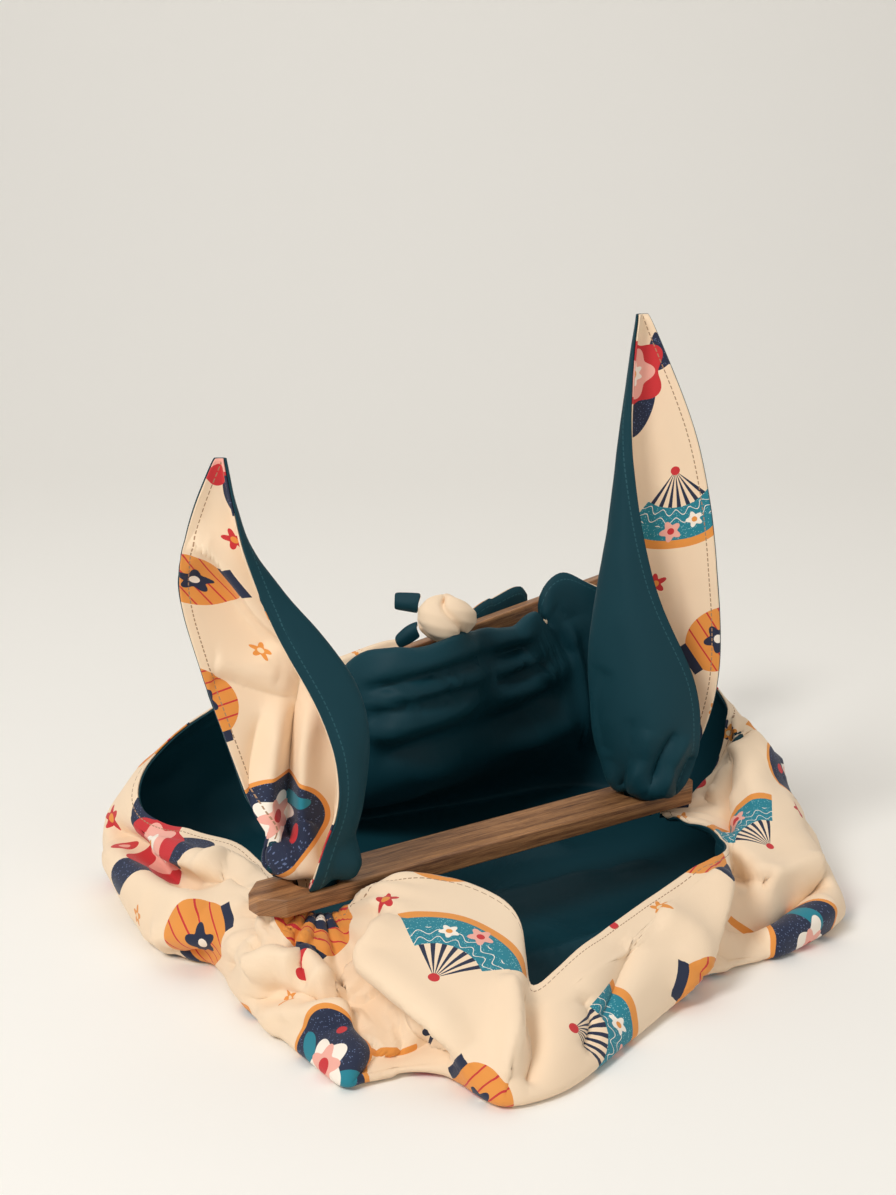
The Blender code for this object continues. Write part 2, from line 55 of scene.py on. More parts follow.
# Cloth
CLOTH = 1.0  # thickness of each layer
LAYER_MIDDLE = 0.75  # from the surface between the two layers to the middle of each
BASE_Z = 1.35
FINE = 2  # levels of smoothing of the body and the free ends
EAR_FINE = 3
CUT_LONG = 0.72  # length of the body's cut, in metres
EAR_LONG = 0.28  # length of a front ear's cut, in metres

# Wooden bars
BAR_LONG = 300.0
BAR_WIDE = 31.0
BAR_THICK = 10.0
BAR_CHAMFER = 11.0
BAR_ARRIS = 1.1
HOLE_RADIUS = 12.5
HOLE_OFFSET = 112.0
FRONT_BAR_CENTRE = (12.0, -36.0, 55.0)
FRONT_BAR_YAW = 36.2
REAR_BAR_CENTRE = (56.0, 187.0, 122.0)
REAR_BAR_YAW = 45.5
REAR_BAR_RISE = 4.0
REAR_BAR_ROLL = 82.0

# The grid of the body's cloth
BASE_CENTRE = (5.0, -5.0)
BASE_RINGS = (0.3, 0.5, 0.7, 0.88)
STEPS_AROUND = 2
STEPS_UP = (1, 1, 1, 1, 2, 2, 2, 2, 2, 2, 2)
FLOOR_RING = 4  # where the wall starts
GIRTH_RING = 7  # where the cut's width is measured
BACK_SEAM = 60  # the line where the cut's sides meet, at the back
EAR_STEPS_ACROSS = 3

# Rear ears
STRAND_RADIUS = 5.5
KNOT_SIZE = (18.0, 15.0, 14.0)
KNOT_TURNS = 0.08  # how deep the cloth's turns are, as a share of the size
KNOT_OUT = 18.0  # in front of the hole
KNOT_UP = 31.0
KNOT_ALONG = 9.0  # towards the end of the bar
STRAND_SIDE = 5.9  # the strand lies against the side of the hole nearer the middle of the bar
SEAT = 0.3  # clearance of a piece from what carries it

low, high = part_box("bar_front")
SHIFT = (low + high) / 2 - Vector(FRONT_BAR_CENTRE) * MM
SHIFT.z = 0.0


def at(point):
    """A point of the tables as a place in the scene."""
    return Vector(point) * MM + SHIFT


def between(a, b, share):
    return tuple(p + share * (q - p) for p, q in zip(a, b))


def by_bar(along, behind, z):
    """A point given by how far it is along the rear bar and behind it, from the bar's middle."""
    turn = math.radians(REAR_BAR_YAW)
    x, y, _ = REAR_BAR_CENTRE
    return (
        x + along * math.cos(turn) - behind * math.sin(turn),
        y + along * math.sin(turn) + behind * math.cos(turn),
        z,
    )


def section(name, floor, low, mid, high, rim, crest=None, brim=None, dip=None):
    """One upright section of the bag's wall, from the table to the rim."""
    brim = brim or between(high, rim, 0.5)
    crest = crest or between(high, brim, 0.5)
    dip = dip or between(brim, rim, 0.5)
    inner = [between(BASE_CENTRE, floor, share) + (BASE_Z,) for share in BASE_RINGS]
    return inner + [floor + (BASE_Z,), low, mid, high, crest, brim, dip, rim]


def pocket(name, floor, low, mid, along, ridge, bottom, top, front=16):
    """A section with a ridge in front of the rear bar, that goes under the bar and up to a rim behind it."""
    high = by_bar(along, -front - 5, ridge - 5)
    crest = by_bar(along, -front, ridge)
    brim = by_bar(along, 7 - front, bottom + 1)
    dip = by_bar(along, 5, bottom)
    return section(name, floor, low, mid, high, by_bar(along, 17, top), crest, brim, dip)


# The sections run anticlockwise seen from above, from the front left corner past the front flap.
SECTIONS = [
    # front left corner: cloth gathered up to the left hole of the front bar
    section("gather left", (-134, -81), (-131, -89, 13), (-118, -97, 28), (-105, -101, 36), (-90, -100, 45)),
    section("gather puff", (-117, -125), (-118, -131, 15), (-107, -141, 32), (-95, -128, 40),
        (-89, -107, 45)),
    section("corner facet", (-96, -162), (-94, -163, 13), (-85, -162, 27), (-80, -142, 38), (-84, -113, 45)),
    section("corner facet low", (-70, -200), (-69, -198, 11), (-66, -186, 23), (-68, -156, 35),
        (-78, -115, 45)),
    section("front corner", (-57, -217), (-54, -214, 11), (-50, -200, 21), (-60, -163, 32), (-72, -113, 45)),
    section("under flap", (-35, -204), (-34, -199, 9), (-35, -187, 16), (-51, -163, 27), (-66, -109, 44)),
    # front flap
    section("flap edge", (-8, -209), (-20, -200, 20), (-48, -176, 37), (-56, -144, 47), (-45, -109, 62)),
    section("flap left", (2, -221), (-6, -213, 20), (-28, -188, 40), (-37, -150, 52), (-30, -105, 63)),
    section("flap middle", (8, -229), (5, -219, 18), (-7, -189, 38), (-12, -146, 51), (-10, -103, 60)),
    section("flap right", (15, -234), (14, -223, 15), (12, -200, 33), (12, -161, 46), (12, -114, 56)),
    section("flap fold", (22, -232), (21, -226, 12), (22, -213, 26), (24, -180, 39), (27, -134, 50)),
    section("drop", (33, -227), (31, -222, 10), (29, -213, 18), (28, -197, 25), (28, -176, 31)),
    # front wall
    section("front 1", (52, -211), (52, -206, 11), (52, -196, 21), (52, -174, 31), (51, -147, 37)),
    section("front 2", (85, -161), (85, -158, 14), (85, -151, 27), (83, -135, 38), (79, -114, 43)),
    section("front 3", (116, -112), (120, -106, 14), (121, -98, 28), (118, -87, 41), (113, -76, 48)),
    section("front ridge", (134, -97), (137, -91, 18), (139, -82, 32), (142, -66, 44), (143, -45, 52)),
    section("front crease", (151, -84), (151, -75, 9), (150, -58, 18), (151, -38, 30), (141, -18, 51)),
    section("corner low", (183, -58), (181, -56, 16), (170, -47, 30), (159, -24, 40), (132, 8, 48)),
    # right corner: cloth gathered up to the right hole of the front bar
    section("right corner", (214, -28), (209, -24, 20), (196, -14, 36), (174, 4, 50), (118, 28, 44),
        brim=(147, 18, 47)),
    section("right puff", (213, -8), (204, 4, 28), (190, 34, 50), (170, 54, 74), (115, 36, 44),
        brim=(146, 46, 46)),
    section("right puff middle", (212, 6), (206, 16, 28), (193, 42, 50), (173, 62, 79), (141, 55, 45),
        brim=(156, 61, 64)),
    section("right puff back", (209, 22), (206, 30, 26), (195, 52, 50), (178, 70, 82), (153, 68, 64),
        brim=(168, 73, 80)),
    # back right wall
    section("right wall 1", (203, 44), (204, 50, 20), (196, 62, 48), (180, 74, 76), (161, 84, 93)),
    section("right wall 2", (180, 92), (184, 97, 18), (180, 106, 50), (168, 114, 80), (150, 118, 104)),
    section("right wall 3", (146, 138), (150, 144, 18), (148, 150, 56), (138, 152, 98), (120, 154, 130)),
    section("rear hump", (112, 170), (114, 176, 20), (112, 176, 62), (103, 175, 108), by_bar(8, -23, 154),
        by_bar(18, -34, 130), by_bar(13, -29, 143), by_bar(10, -26, 150)),
    section("rear seam", (84, 190), (86, 190, 18), (90, 181, 58), by_bar(-1, -28, 112), by_bar(-6, -17, 149),
        by_bar(-3, -26, 126), by_bar(-5, -24, 138), by_bar(-6, -21, 145)),
    # back left wall: a ridge of it lies in front of the rear bar
    section("rear cross", (64, 189), (68, 189, 16), (81, 172, 55), by_bar(-17, -25, 113),
        by_bar(-18, -10, 98), by_bar(-18, -22, 122), by_bar(-18, -18, 119), by_bar(-18, -14, 108)),
    section("rear under", (51, 185), (56, 185, 16), (71, 166, 53), by_bar(-28, -22, 116), by_bar(-28, 2, 88),
        by_bar(-29, -17, 121), by_bar(-29, -11, 102), by_bar(-28, -5, 92)),
    pocket("rear 1", (38, 180), (44, 180, 16), (61, 160, 52), along=-42, ridge=128, bottom=92, top=139),
    pocket("rear 2", (8, 164), (16, 162, 16), (46, 145, 52), along=-56, ridge=131, bottom=93, top=140),
    pocket("rear 3", (-26, 150), (-14, 146, 16), (28, 127, 50), along=-73, ridge=130, bottom=99.3, top=126),
    pocket("rear 4", (-60, 134), (-46, 128, 16), (6, 108, 44), along=-92, ridge=130, bottom=90, top=112),
    pocket("rear 5", (-94, 118), (-84, 116, 14), (-14, 84, 42), along=-116, ridge=128, bottom=89, top=95,
        front=28),
    # the ridge goes on past the left end of the rear bar
    section("bar end 1", (-108, 114), (-106, 108, 16), (-46, 62, 46), (-35, 52, 112), (-63, 94, 93),
        (-37, 59, 127), (-44, 68, 98), (-57, 81, 88)),
    section("bar end 2", (-118, 110), (-122, 112, 16), (-84, 78, 50), (-73, 66, 106), (-72, 99, 90),
        (-69, 72, 121), (-68, 82, 98), (-70, 90, 89)),
    section("bar end 3", (-125, 107), (-131, 112, 17), (-110, 100, 50), (-94, 92, 92), (-81, 107, 92),
        (-88, 93, 102), (-83, 97, 99), (-81, 102, 95)),
    # left corner: cloth gathered up to the knot on the rear bar
    section("left corner 1", (-132, 102), (-140, 112, 18), (-136, 114, 50), (-117, 112, 82), (-92, 115, 94)),
    section("left corner 2", (-160, 84), (-168, 90, 18), (-158, 96, 50), (-136, 104, 78), (-108, 110, 96)),
    # front left wall
    section("left wall 1", (-186, 64), (-195, 68, 20), (-182, 76, 50), (-160, 84, 76), (-128, 96, 97)),
    section("left wall 2", (-202, 50), (-210, 50, 24), (-202, 56, 46), (-186, 64, 70), (-156, 78, 94)),
    section("left wall 3", (-206, 32), (-214, 34, 34), (-208, 42, 48), (-198, 42, 62), (-186, 40, 74)),
    section("left wall 4", (-203, 14), (-212, 20, 32), (-207, 22, 44), (-198, 20, 54), (-189, 16, 60)),
    section("left wall 5", (-193, -6), (-204, 0, 26), (-190, -6, 35), (-182, -12, 46), (-178, 0, 53)),
    section("left wall 6", (-177, -48), (-183, -42, 22), (-167, -32, 32), (-152, -36, 45), (-153, -14, 50)),
    section("left wall 7", (-160, -72), (-165, -70, 18), (-151, -68, 33), (-134, -60, 42), (-125, -24, 46)),
    section("left wall 8", (-147, -79), (-148, -83, 15), (-134, -86, 31), (-118, -82, 40), (-104, -64, 44)),
]

# Creases and ridges of the wall. A height below zero is a trough on the printed side.
FOLDS = [
    # name, from, to, height, half width
    ("left valley", (-208, 26, 40), (-130, -76, 36), -7.0, 9.0),
    ("left ridge", (-165, -22, 48), (-104, -92, 42), 5.0, 9.0),
    ("puff crease", (-118, -128, 14), (-62, -146, 30), -7.0, 8.0),
    ("puff roll", (-112, -124, 32), (-80, -134, 36), 6.0, 9.0),
    ("gather crease 1", (-104, -118, 42), (-92, -158, 24), -5.0, 7.0),
    ("gather crease 2", (-70, -120, 44), (-62, -162, 30), -6.0, 7.0),
    ("flap crown", (-14, -128, 54), (2, -206, 28), 5.0, 22.0),
    ("front dimple", (70, -168, 20), (104, -100, 38), -4.0, 16.0),
    ("front crown", (100, -130, 14), (126, -66, 46), 4.0, 16.0),
    ("right crease", (146, -66, 20), (200, -16, 34), -8.0, 12.0),
    ("right ridge", (160, -20, 42), (208, -20, 22), 4.0, 10.0),
    ("right puff ridge", (140, 60, 70), (186, 30, 50), 4.0, 12.0),
    ("rear hollow", (2, 108, 68), (70, 164, 70), 4.0, 7.0),
    ("rear swoop", (-10, 112, 50), (78, 172, 52), -6.0, 9.0),
    ("rear foot hollow", (-40, 124, 24), (66, 176, 26), 5.0, 10.0),
]

# The same for the front ears, as far as they show in the solids.
EAR_FOLDS = [
    ("left roll", (-91, -92, 150), (-82, -96, 72), 4.0, 8.0),
    ("right roll", (-72, -96, 158), (-74, -98, 72), 4.0, 8.0),
    ("roll valley", (-80, -92, 160), (-79, -96, 74), -4.0, 6.0),
    ("upper hollow", (-132, -100, 216), (-104, -92, 182), -4.0, 10.0),
    ("upper ridge", (-122, -98, 204), (-92, -90, 176), 3.0, 8.0),
    ("foot crease 1", (96, 10, 96), (100, 26, 66), -4.0, 6.0),
    ("foot crease 2", (114, 12, 100), (106, 26, 66), -4.0, 6.0),
]

# Front ears. Each row is a level of the ear: its height and the points across it in plan.
# The cloth runs from its first edge to the fold and on to its second edge, printed side within the fold.
LEFT_EAR = [
    # z, edge 1, middle 1, fold, middle 2, edge 2
    (47, (-88, -98), (-79, -94), (-69, -101), (-74, -107), (-81, -111)),
    (62, (-88, -98), (-79, -94), (-69, -100), (-74, -107), (-81, -111)),
    (69, (-99, -98), (-84, -92), (-64, -100), (-68, -109), (-77, -114)),
    (86, (-108, -97), (-89, -87), (-60, -98), (-61, -111), (-72, -118)),
    (106, (-115, -96), (-92, -86), (-57, -96), (-55, -110), (-64, -118)),
    (131, (-123, -97), (-96, -86), (-53, -96), (-54, -109), (-66, -117)),
    (157, (-131, -98), (-101, -88), (-53, -97), (-62, -108), (-75, -114)),
    (182, (-138, -100), (-109, -91), (-68, -98), (-77, -107), (-90, -112)),
    (208, (-144, -103), (-118, -95), (-90, -99), (-94, -106), (-102, -110)),
    (232, (-143, -106), (-126, -101), (-109, -101), (-107, -106), (-110, -111)),
    (258, (-134, -108), (-127, -104), (-119, -104), (-115, -108), (-115, -112)),
    (270, (-129, -107), (-125, -105), (-120, -104), (-117, -107), (-117, -110)),
    (281, (-124, -106), (-122, -105), (-120, -105), (-119, -106), (-119, -108)),
]
RIGHT_EAR = [
    (47, (110, 23), (103, 26), (94, 31), (102, 35), (110, 37)),
    (62, (110, 23), (103, 25), (94, 30), (102, 35), (109, 37)),
    (68, (121, 18), (104, 15), (88, 30), (103, 42), (122, 37)),
    (76, (131, 16), (105, 8), (79, 30), (103, 44), (132, 36)),
    (90, (134, 15), (105, 3), (73, 30), (104, 45), (138, 35)),
    (110, (134, 16), (103, 2), (70, 29), (105, 46), (144, 33)),
    (134, (130, 16), (100, 4), (69, 30), (106, 45), (147, 32)),
    (162, (115, 15), (92, 8), (71, 30), (107, 44), (146, 31)),
    (190, (104, 16), (88, 12), (76, 29), (106, 42), (143, 30)),
    (218, (98, 18), (87, 17), (81, 29), (105, 40), (140, 30)),
    (252, (93, 20), (87, 21), (85, 30), (104, 38), (134, 31)),
    (280, (91, 22), (88, 25), (88, 31), (102, 37), (126, 32)),
    (310, (92, 24), (91, 27), (92, 32), (100, 35), (113, 33)),
    (337, (94, 25), (94, 28), (95, 31), (97, 33), (101, 33)),
]

# Rear ears: where each strand comes from, and the rows across each free end, from its root to its tip
LEFT_STRAND_START = [(-100, 112, 103), (-74, 110, 113), (-42, 120, 121)]
RIGHT_STRAND_START = [(95.5, 177.5, 132), (110, 200, 132), (127, 224, 132), (139, 245, 130)]
FREE_ENDS = [
    [
        [(-19, 0, 4), (-19, -2, 9), (-17, 1, 15)],
        [(-25, 1, 5), (-25, -2, 9), (-24, 2, 15)],
        [(-33, 2, 6), (-33, 0, 10), (-33, 3, 15)],
    ],
    [
        [(-19, -7, -9), (-21, -9, -4), (-20, -6, -1)],
        [(-25, -8, -13), (-27, -10, -8), (-26, -7, -3)],
        [(-31, -7, -16), (-33, -8, -13), (-33, -6, -10)],
    ],
]

# Creases and rolls that are finer than the solid's. Left and right are as seen along the line.
CREASES = [
    # name, line, height, half width to the left and to the right
    # left wall
    ("rim fold", [(-211, 28, 41), (-187, -2, 39), (-169, -24, 32), (-147, -60, 36)], -11, 4, 7),
    ("big roll", [(-209, 13, 32), (-186, -23, 29), (-160, -59, 29), (-141, -82, 32)], 8, 9.5, 9.5),
    ("inner valley", [(-179, -10, 39), (-156, -37, 36), (-139, -60, 43), (-127, -60, 47), (-115, -78, 45)],
        -9, 3, 6),
    ("inner ridge", [(-180, -12, 46), (-162, -28, 43), (-146, -48, 46), (-130, -45, 47), (-113, -59, 45)],
        7, 4, 7),
    ("foot undercut", [(-163, -73, 6), (-145, -83, 9), (-118, -121, 20)], -8, 4.2, 4.2),
    ("foot roll", [(-170, -67, 12), (-143, -85, 20), (-118, -112, 29)], 6, 7.6, 7.6),
    ("end crease", [(-117, -86, 42), (-106, -110, 37), (-109, -131, 33)], -9, 3, 5),
    # gathers below the left hole
    ("puff 1", [(-106, -125, 36), (-101, -116, 39), (-92, -122, 44)], 10, 6.6, 6.6),
    ("puff crease 1", [(-108, -136, 32), (-97, -136, 38), (-88, -140, 41)], -10, 3.4, 3.4),
    ("puff 2", [(-110, -139, 28), (-97, -145, 34), (-85, -150, 35)], 11, 7.6, 7.6),
    ("puff crease 2", [(-111, -145, 16), (-96, -156, 25), (-84, -162, 29), (-75, -167, 30)], -10, 3.4, 3.4),
    ("puff crease 3", [(-90, -126, 44), (-85, -144, 39), (-80, -161, 31)], -10, 3.4, 3.4),
    ("puff 3", [(-82, -134, 43), (-78, -148, 38), (-72, -162, 33)], 8, 5.7, 5.7),
    ("puff crease 4", [(-83, -138, 42), (-73, -144, 37), (-64, -150, 32)], -8, 3.4, 3.4),
    ("puff 4", [(-68, -134, 42), (-62, -146, 36), (-58, -158, 32)], 6, 5.7, 5.7),
    ("long crease", [(-118, -138, 8), (-110, -146, 12), (-88, -165, 24), (-75, -169, 28), (-61, -165, 31)],
        -10, 4.2, 4.2),
    ("lower roll", [(-108, -152, 9), (-81, -175, 22), (-63, -176, 28), (-50, -173, 26)], 6, 7.6, 7.6),
    ("lower valley", [(-101, -162, 11), (-74, -186, 20), (-44, -181, 22)], -6, 7.6, 7.6),
    ("facet crease", [(-53, -217, 3), (-40, -204, 13), (-26, -199, 18), (-14, -209, 24)], -6, 4.2, 4.2),
    ("under crease", [(-32, -195, 16), (-18, -205, 14), (-11, -211, 12)], -6, 3.4, 3.4),
    # front flap
    ("flap edge crease", [(-44, -127, 56), (-54, -142, 44), (-62, -148, 32), (-48, -170, 30), (-27, -200, 27),
        (-10, -214, 17)], -12, 3, 7),
    ("flap edge ridge", [(-39, -140, 56), (-47, -156, 49), (-50, -166, 42), (-38, -184, 38), (-21, -203, 30),
        (-4, -217, 20)], 9, 11, 3),
    ("flap right crease", [(28, -185, 33), (31, -212, 20), (27, -227, 10)], -8, 4, 3),
    ("flap right ridge", [(20, -180, 42), (22, -208, 30), (17, -230, 14)], 7, 3, 8),
    ("flap hollow", [(-62, -156, 28), (-48, -184, 26), (-28, -208, 18), (-12, -222, 10)], -9, 6, 13),
    # front wall
    ("front wave", [(88, -130, 38), (77, -156, 28), (68, -180, 18)], -8, 5, 10),
    ("front swell", [(99, -108, 42), (114, -109, 30), (112, -120, 18)], 6, 10.4, 10.4),
    ("front dip", [(56, -170, 28), (62, -185, 20), (58, -200, 12)], -7, 4, 8),
    ("panel edge ridge", [(137, -64, 49), (134, -87, 35), (121, -108, 20), (105, -134, 7)], 8, 3, 12),
    ("panel edge crease", [(150, -22, 41), (144, -70, 33), (134, -95, 18), (119, -112, 4)], -13, 8, 3),
    # right corner
    ("right upper ridge", [(156, -35, 33), (175, -33, 34), (191, -22, 35), (202, -15, 32)], 10, 6.6, 6.6),
    ("right deep crease", [(206, -18, 26), (200, -28, 25), (177, -48, 21), (163, -58, 17), (146, -70, 22)],
        -17, 3, 6),
    ("panel hollow", [(156, -40, 34), (150, -72, 24), (138, -96, 12)], -9, 12, 6),
    ("right low roll", [(204, -34, 16), (180, -56, 12), (160, -72, 10)], 8, 7.6, 7.6),
    ("right crease", [(147, -14, 46), (156, -31, 35), (170, -36, 30)], -11, 3, 6),
    ("right puff ridge", [(163, 80, 89), (161, 61, 73), (153, 51, 60), (143, 43, 50)], 9, 7, 4),
    ("right puff crease", [(163, 60, 72), (155, 42, 58), (152, 30, 50), (153, 0, 46)], -14, 3, 6),
    ("right back crease", [(176, 92, 72), (172, 62, 56), (166, 30, 40), (170, 4, 34)], -13, 4, 7),
    ("right back ridge", [(184, 84, 62), (181, 56, 52), (178, 26, 44)], 8, 7, 5),
    # back wall: its lining side faces the front, so its rolls are below zero
    ("rear roll 1", [(-60, 60, 119), (-34, 52, 126), (-4, 84, 127), (26, 128, 124), (45, 148, 120)],
        -5, 6, 6),
    ("rear valley 1", [(-57, 58, 112), (-35, 53, 118), (-11, 72, 120), (26, 123, 116), (48, 146, 116)],
        9, 4, 4),
    ("rear roll 2", [(-59, 57, 104), (-37, 54, 112), (-15, 68, 114), (7, 98, 111), (32, 126, 108),
        (60, 152, 112)], -10, 6, 4),
    ("rear valley 2", [(-59, 57, 94), (-37, 51, 103), (-14, 65, 105), (33, 129, 99), (58, 152, 104)],
        11, 4, 5),
    ("rear roll 3", [(-59, 58, 84), (-28, 56, 93), (7, 90, 96), (33, 129, 91), (68, 160, 98)], -11, 8, 7),
    ("rear hollow 3", [(-54, 57, 70), (-11, 72, 74), (33, 128, 72), (66, 157, 82)], 12, 10, 10),
    ("rear roll 4", [(-30, 66, 52), (10, 100, 54), (46, 146, 54), (74, 172, 60)], -7, 8, 8),
    ("rear valley 4", [(-40, 62, 38), (10, 100, 38), (50, 150, 40)], 5, 6, 6),
    ("pinch 1", [(50, 156, 132), (60, 158, 116), (68, 164, 104)], 3, 4, 4),
    ("pinch 2", [(54, 160, 138), (68, 166, 124), (76, 172, 112)], 3, 4, 4),
    ("back seam", [(66, 160, 128), (74, 166, 92), (78, 168, 64), (82, 174, 30)], -6, 3, 12),
    ("back seam shade", [(72, 166, 122), (79, 170, 92), (83, 172, 64), (86, 178, 30)], 4, 4, 4),
    # floor
    ("floor fold 1", [(-60, 20, 2), (0, 60, 2), (70, 80, 2)], -15, 5, 12),
    ("floor fold 2", [(-20, -10, 2), (50, 20, 2), (120, 60, 2)], -13, 10, 5),
    ("floor fold 3", [(20, -90, 2), (70, -60, 2), (120, -30, 2)], -16, 6, 12),
    ("floor fold 4", [(40, -130, 2), (70, -90, 2), (80, -50, 2)], -14, 10, 5),
    ("floor fold 5", [(-110, 0, 2), (-60, 10, 2), (-10, 50, 2)], -12, 6, 12),
    ("floor fold 6", [(50, -150, 2), (90, -110, 2), (112, -70, 2)], -13, 5, 10),
]
LEFT_EAR_CREASES = [
    ("left roll", [(-94, -90, 152), (-101, -89, 122), (-106, -94, 98), (-101, -97, 78), (-92, -99, 66),
        (-86, -100, 58)], 10, 7, 8),
    ("right roll", [(-78, -98, 160), (-82, -90, 131), (-84, -90, 97), (-83, -93, 75), (-80, -98, 64),
        (-79, -100, 55)], 11, 6, 6),
    ("roll valley", [(-85, -100, 181), (-90, -89, 145), (-93, -88, 110), (-93, -92, 80), (-88, -98, 62)],
        -10, 4, 3),
    ("right hollow", [(-64, -110, 140), (-70, -96, 105), (-73, -95, 81), (-74, -104, 64)], -8, 5, 5),
    ("left valley", [(-106, -89, 146), (-112, -94, 110), (-110, -96, 80), (-98, -98, 66)], -6, 5, 4),
    ("upper ridge", [(-138, -107, 239), (-125, -102, 230), (-112, -97, 211), (-100, -95, 196),
        (-90, -98, 183)], 6, 9, 3),
    ("upper crease", [(-138, -105, 226), (-124, -98, 213), (-112, -94, 195), (-98, -93, 178)], -5, 6, 9),
    ("second crease", [(-130, -99, 167), (-121, -95, 165), (-101, -89, 155), (-90, -90, 154)], -4, 3, 7),
    ("second ridge", [(-128, -97, 175), (-113, -92, 171), (-96, -91, 166)], 2, 6, 6),
    ("hem fold", [(-109, -112, 205), (-86, -116, 172), (-70, -120, 135), (-67, -119, 106), (-73, -118, 84)],
        -1.5, 2, 2),
]
RIGHT_EAR_CREASES = [
    ("foot valley 1", [(92, 22, 62), (90, 12, 74), (92, 4, 90), (94, 3, 112)], 4, 3, 4),
    ("foot ridge 1", [(98, 18, 62), (98, 8, 75), (101, 3, 90), (104, 2, 106)], -3, 4, 4),
    ("foot valley 2", [(104, 16, 62), (106, 8, 72), (112, 3, 88), (121, 5, 104)], 6, 3, 4),
    ("foot ridge 2", [(111, 16, 62), (114, 8, 72), (120, 7, 86), (128, 10, 100)], -3, 4, 4),
    ("foot valley 3", [(117, 20, 63), (123, 12, 72), (131, 14, 88)], 3, 3, 4),
    ("side hollow", [(80, 20, 84), (76, 22, 110), (80, 18, 140)], 2, 8, 8),
    ("print ridge", [(120, 44, 90), (124, 40, 160), (116, 38, 240)], -2, 12, 12),
    ("print gather", [(118, 38, 66), (128, 42, 84), (132, 40, 110)], 4, 5, 5),
]

# Places drawn aside, up or down
PULLS = [
    # name, centre, reach, move
    ("ridge past the bar", (-48, 62, 124), 42, (0, 0, 12)),
    ("ridge left", (-8, 82, 128), 34, (0, 0, 8)),
    ("ridge right", by_bar(-56, -18, 128), 24, (0, 0, -7)),
    ("pinch", by_bar(-33, -20, 114), 26, (0, -2, 15)),
    ("rim behind the bar", by_bar(-42, 17, 139), 30, (26, 26, 1)),
    ("rim behind the bar left", by_bar(-60, 17, 136), 26, (9, 9, 5)),
    ("hump", by_bar(-4, -22, 138), 36, (-13, -11, 3)),
]
LEFT_EAR_PULLS = [
    ("foot front", (-77, -114, 69), 18, (-2, -8, -5)),
    ("foot left", (-98, -99, 71), 16, (-6, -6, -5)),
    ("foot right", (-63, -102, 71), 16, (7, -3, -5)),
    ("print foot", (-86, -95, 72), 16, (-3, -14, -4)),
]
RIGHT_EAR_PULLS = [
    ("foot front", (104, 13, 71), 20, (0, -6, -6)),
    ("foot left", (88, 26, 72), 14, (-1, -3, -6)),
    ("foot right", (120, 17, 71), 14, (0, -3, -5)),
]

CRUMPLES = [
    # name, centre, reach, depth, length
    ("left corner", (-100, -140, 30), 55, 3.5, 22.0),
    ("left wall", (-165, -40, 35), 62, 3.5, 30.0),
    ("right corner", (165, 0, 50), 70, 5.0, 28.0),
    ("right wall", (175, 70, 60), 60, 4.5, 26.0),
    ("rear pinch", (45, 165, 125), 40, 1.5, 18.0),
    ("front", (80, -140, 25), 70, 2.0, 40.0),
    ("floor", (60, -20, 0), 110, 5.0, 45.0),
    ("left back", (-140, 90, 50), 80, 5.0, 34.0),
]
PLEATS = [
    # name, centre, axis, count, near, far, depth
    ("left hole", (-78, -102, 52), (0.1, -0.3, 1.0), 22, 22, 70, 1.5),
    ("right hole", (104, 32, 60), (0.1, -0.2, 1.0), 22, 22, 66, 1.3),
]


# ---------------------------------------------------------------- grids of points

def curve_through(p0, p1, p2, p3, t):
    """A smooth curve from p1 to p2, with its neighbours p0 and p3."""
    out = []
    for a, b, c, d in zip(p0, p1, p2, p3):
        bend, twist = 2 * a - 5 * b + 4 * c - d, 3 * b - a - 3 * c + d
        out.append(0.5 * (2 * b + (c - a) * t + bend * t * t + twist * t * t * t))
    return tuple(out)


def smooth_line(points, steps, closed=False):
    """The points with others between them on a smooth curve. steps is one number or one for each span."""
    n = len(points)
    spans = n if closed else n - 1
    if isinstance(steps, int):
        steps = (steps,) * spans
    line = []
    for i in range(spans):
        near = [(i + k) % n if closed else min(max(i + k, 0), n - 1) for k in (-1, 0, 1, 2)]
        line += [curve_through(*[points[k] for k in near], k / steps[i]) for k in range(steps[i])]
    return line if closed else line + [points[-1]]


def smooth_grid(rows, steps_along_rows, steps_between_rows, closed):
    """A grid of points through the rows: finer along each row, then finer from row to row."""
    fine = [smooth_line(row, steps_along_rows) for row in rows]
    columns = [smooth_line(list(column), steps_between_rows, closed) for column in zip(*fine)]
    return [list(row) for row in zip(*columns)]


def running_length(points):
    out = [0.0]
    for a, b in zip(points, points[1:]):
        out.append(out[-1] + math.dist(a, b))
    return out


def smooth_step(low, high, value):
    """0 below low and 1 above high, with an even slope between them."""
    t = min(max((value - low) / (high - low), 0.0), 1.0)
    return t * t * (3 - 2 * t)


# ---------------------------------------------------------------- cloth

def add_object(name, data):
    made = bpy.data.objects.new(name, data)
    bpy.context.scene.collection.objects.link(made)
    return made


def as_mesh(name, bm):
    mesh = bpy.data.meshes.new(name)
    bm.to_mesh(mesh)
    bm.free()
    return mesh


def cloth_grid(lines):
    """A sheet through the points, and the line and the point that each vertex stands for."""
    columns, rows = len(lines) - 1, len(lines[0]) - 1
    bm = bmesh.new()
    bmesh.ops.create_grid(bm, x_segments=columns, y_segments=rows, size=0.5)
    where = {v: (round((v.co.x + 0.5) * columns), round((v.co.y + 0.5) * rows)) for v in bm.verts}
    for v, (i, j) in where.items():
        v.co = at(lines[i][j])
    return bm, where


def write_map(bm, name, give):
    """A map of the surface. give says where a vertex lies on the map, in metres."""
    layer = bm.loops.layers.uv.new(name)
    for f in bm.faces:
        for loop in f.loops:
            loop[layer].uv = give(loop.vert)


def area_of(bm):
    return sum(f.calc_area() for f in bm.faces)


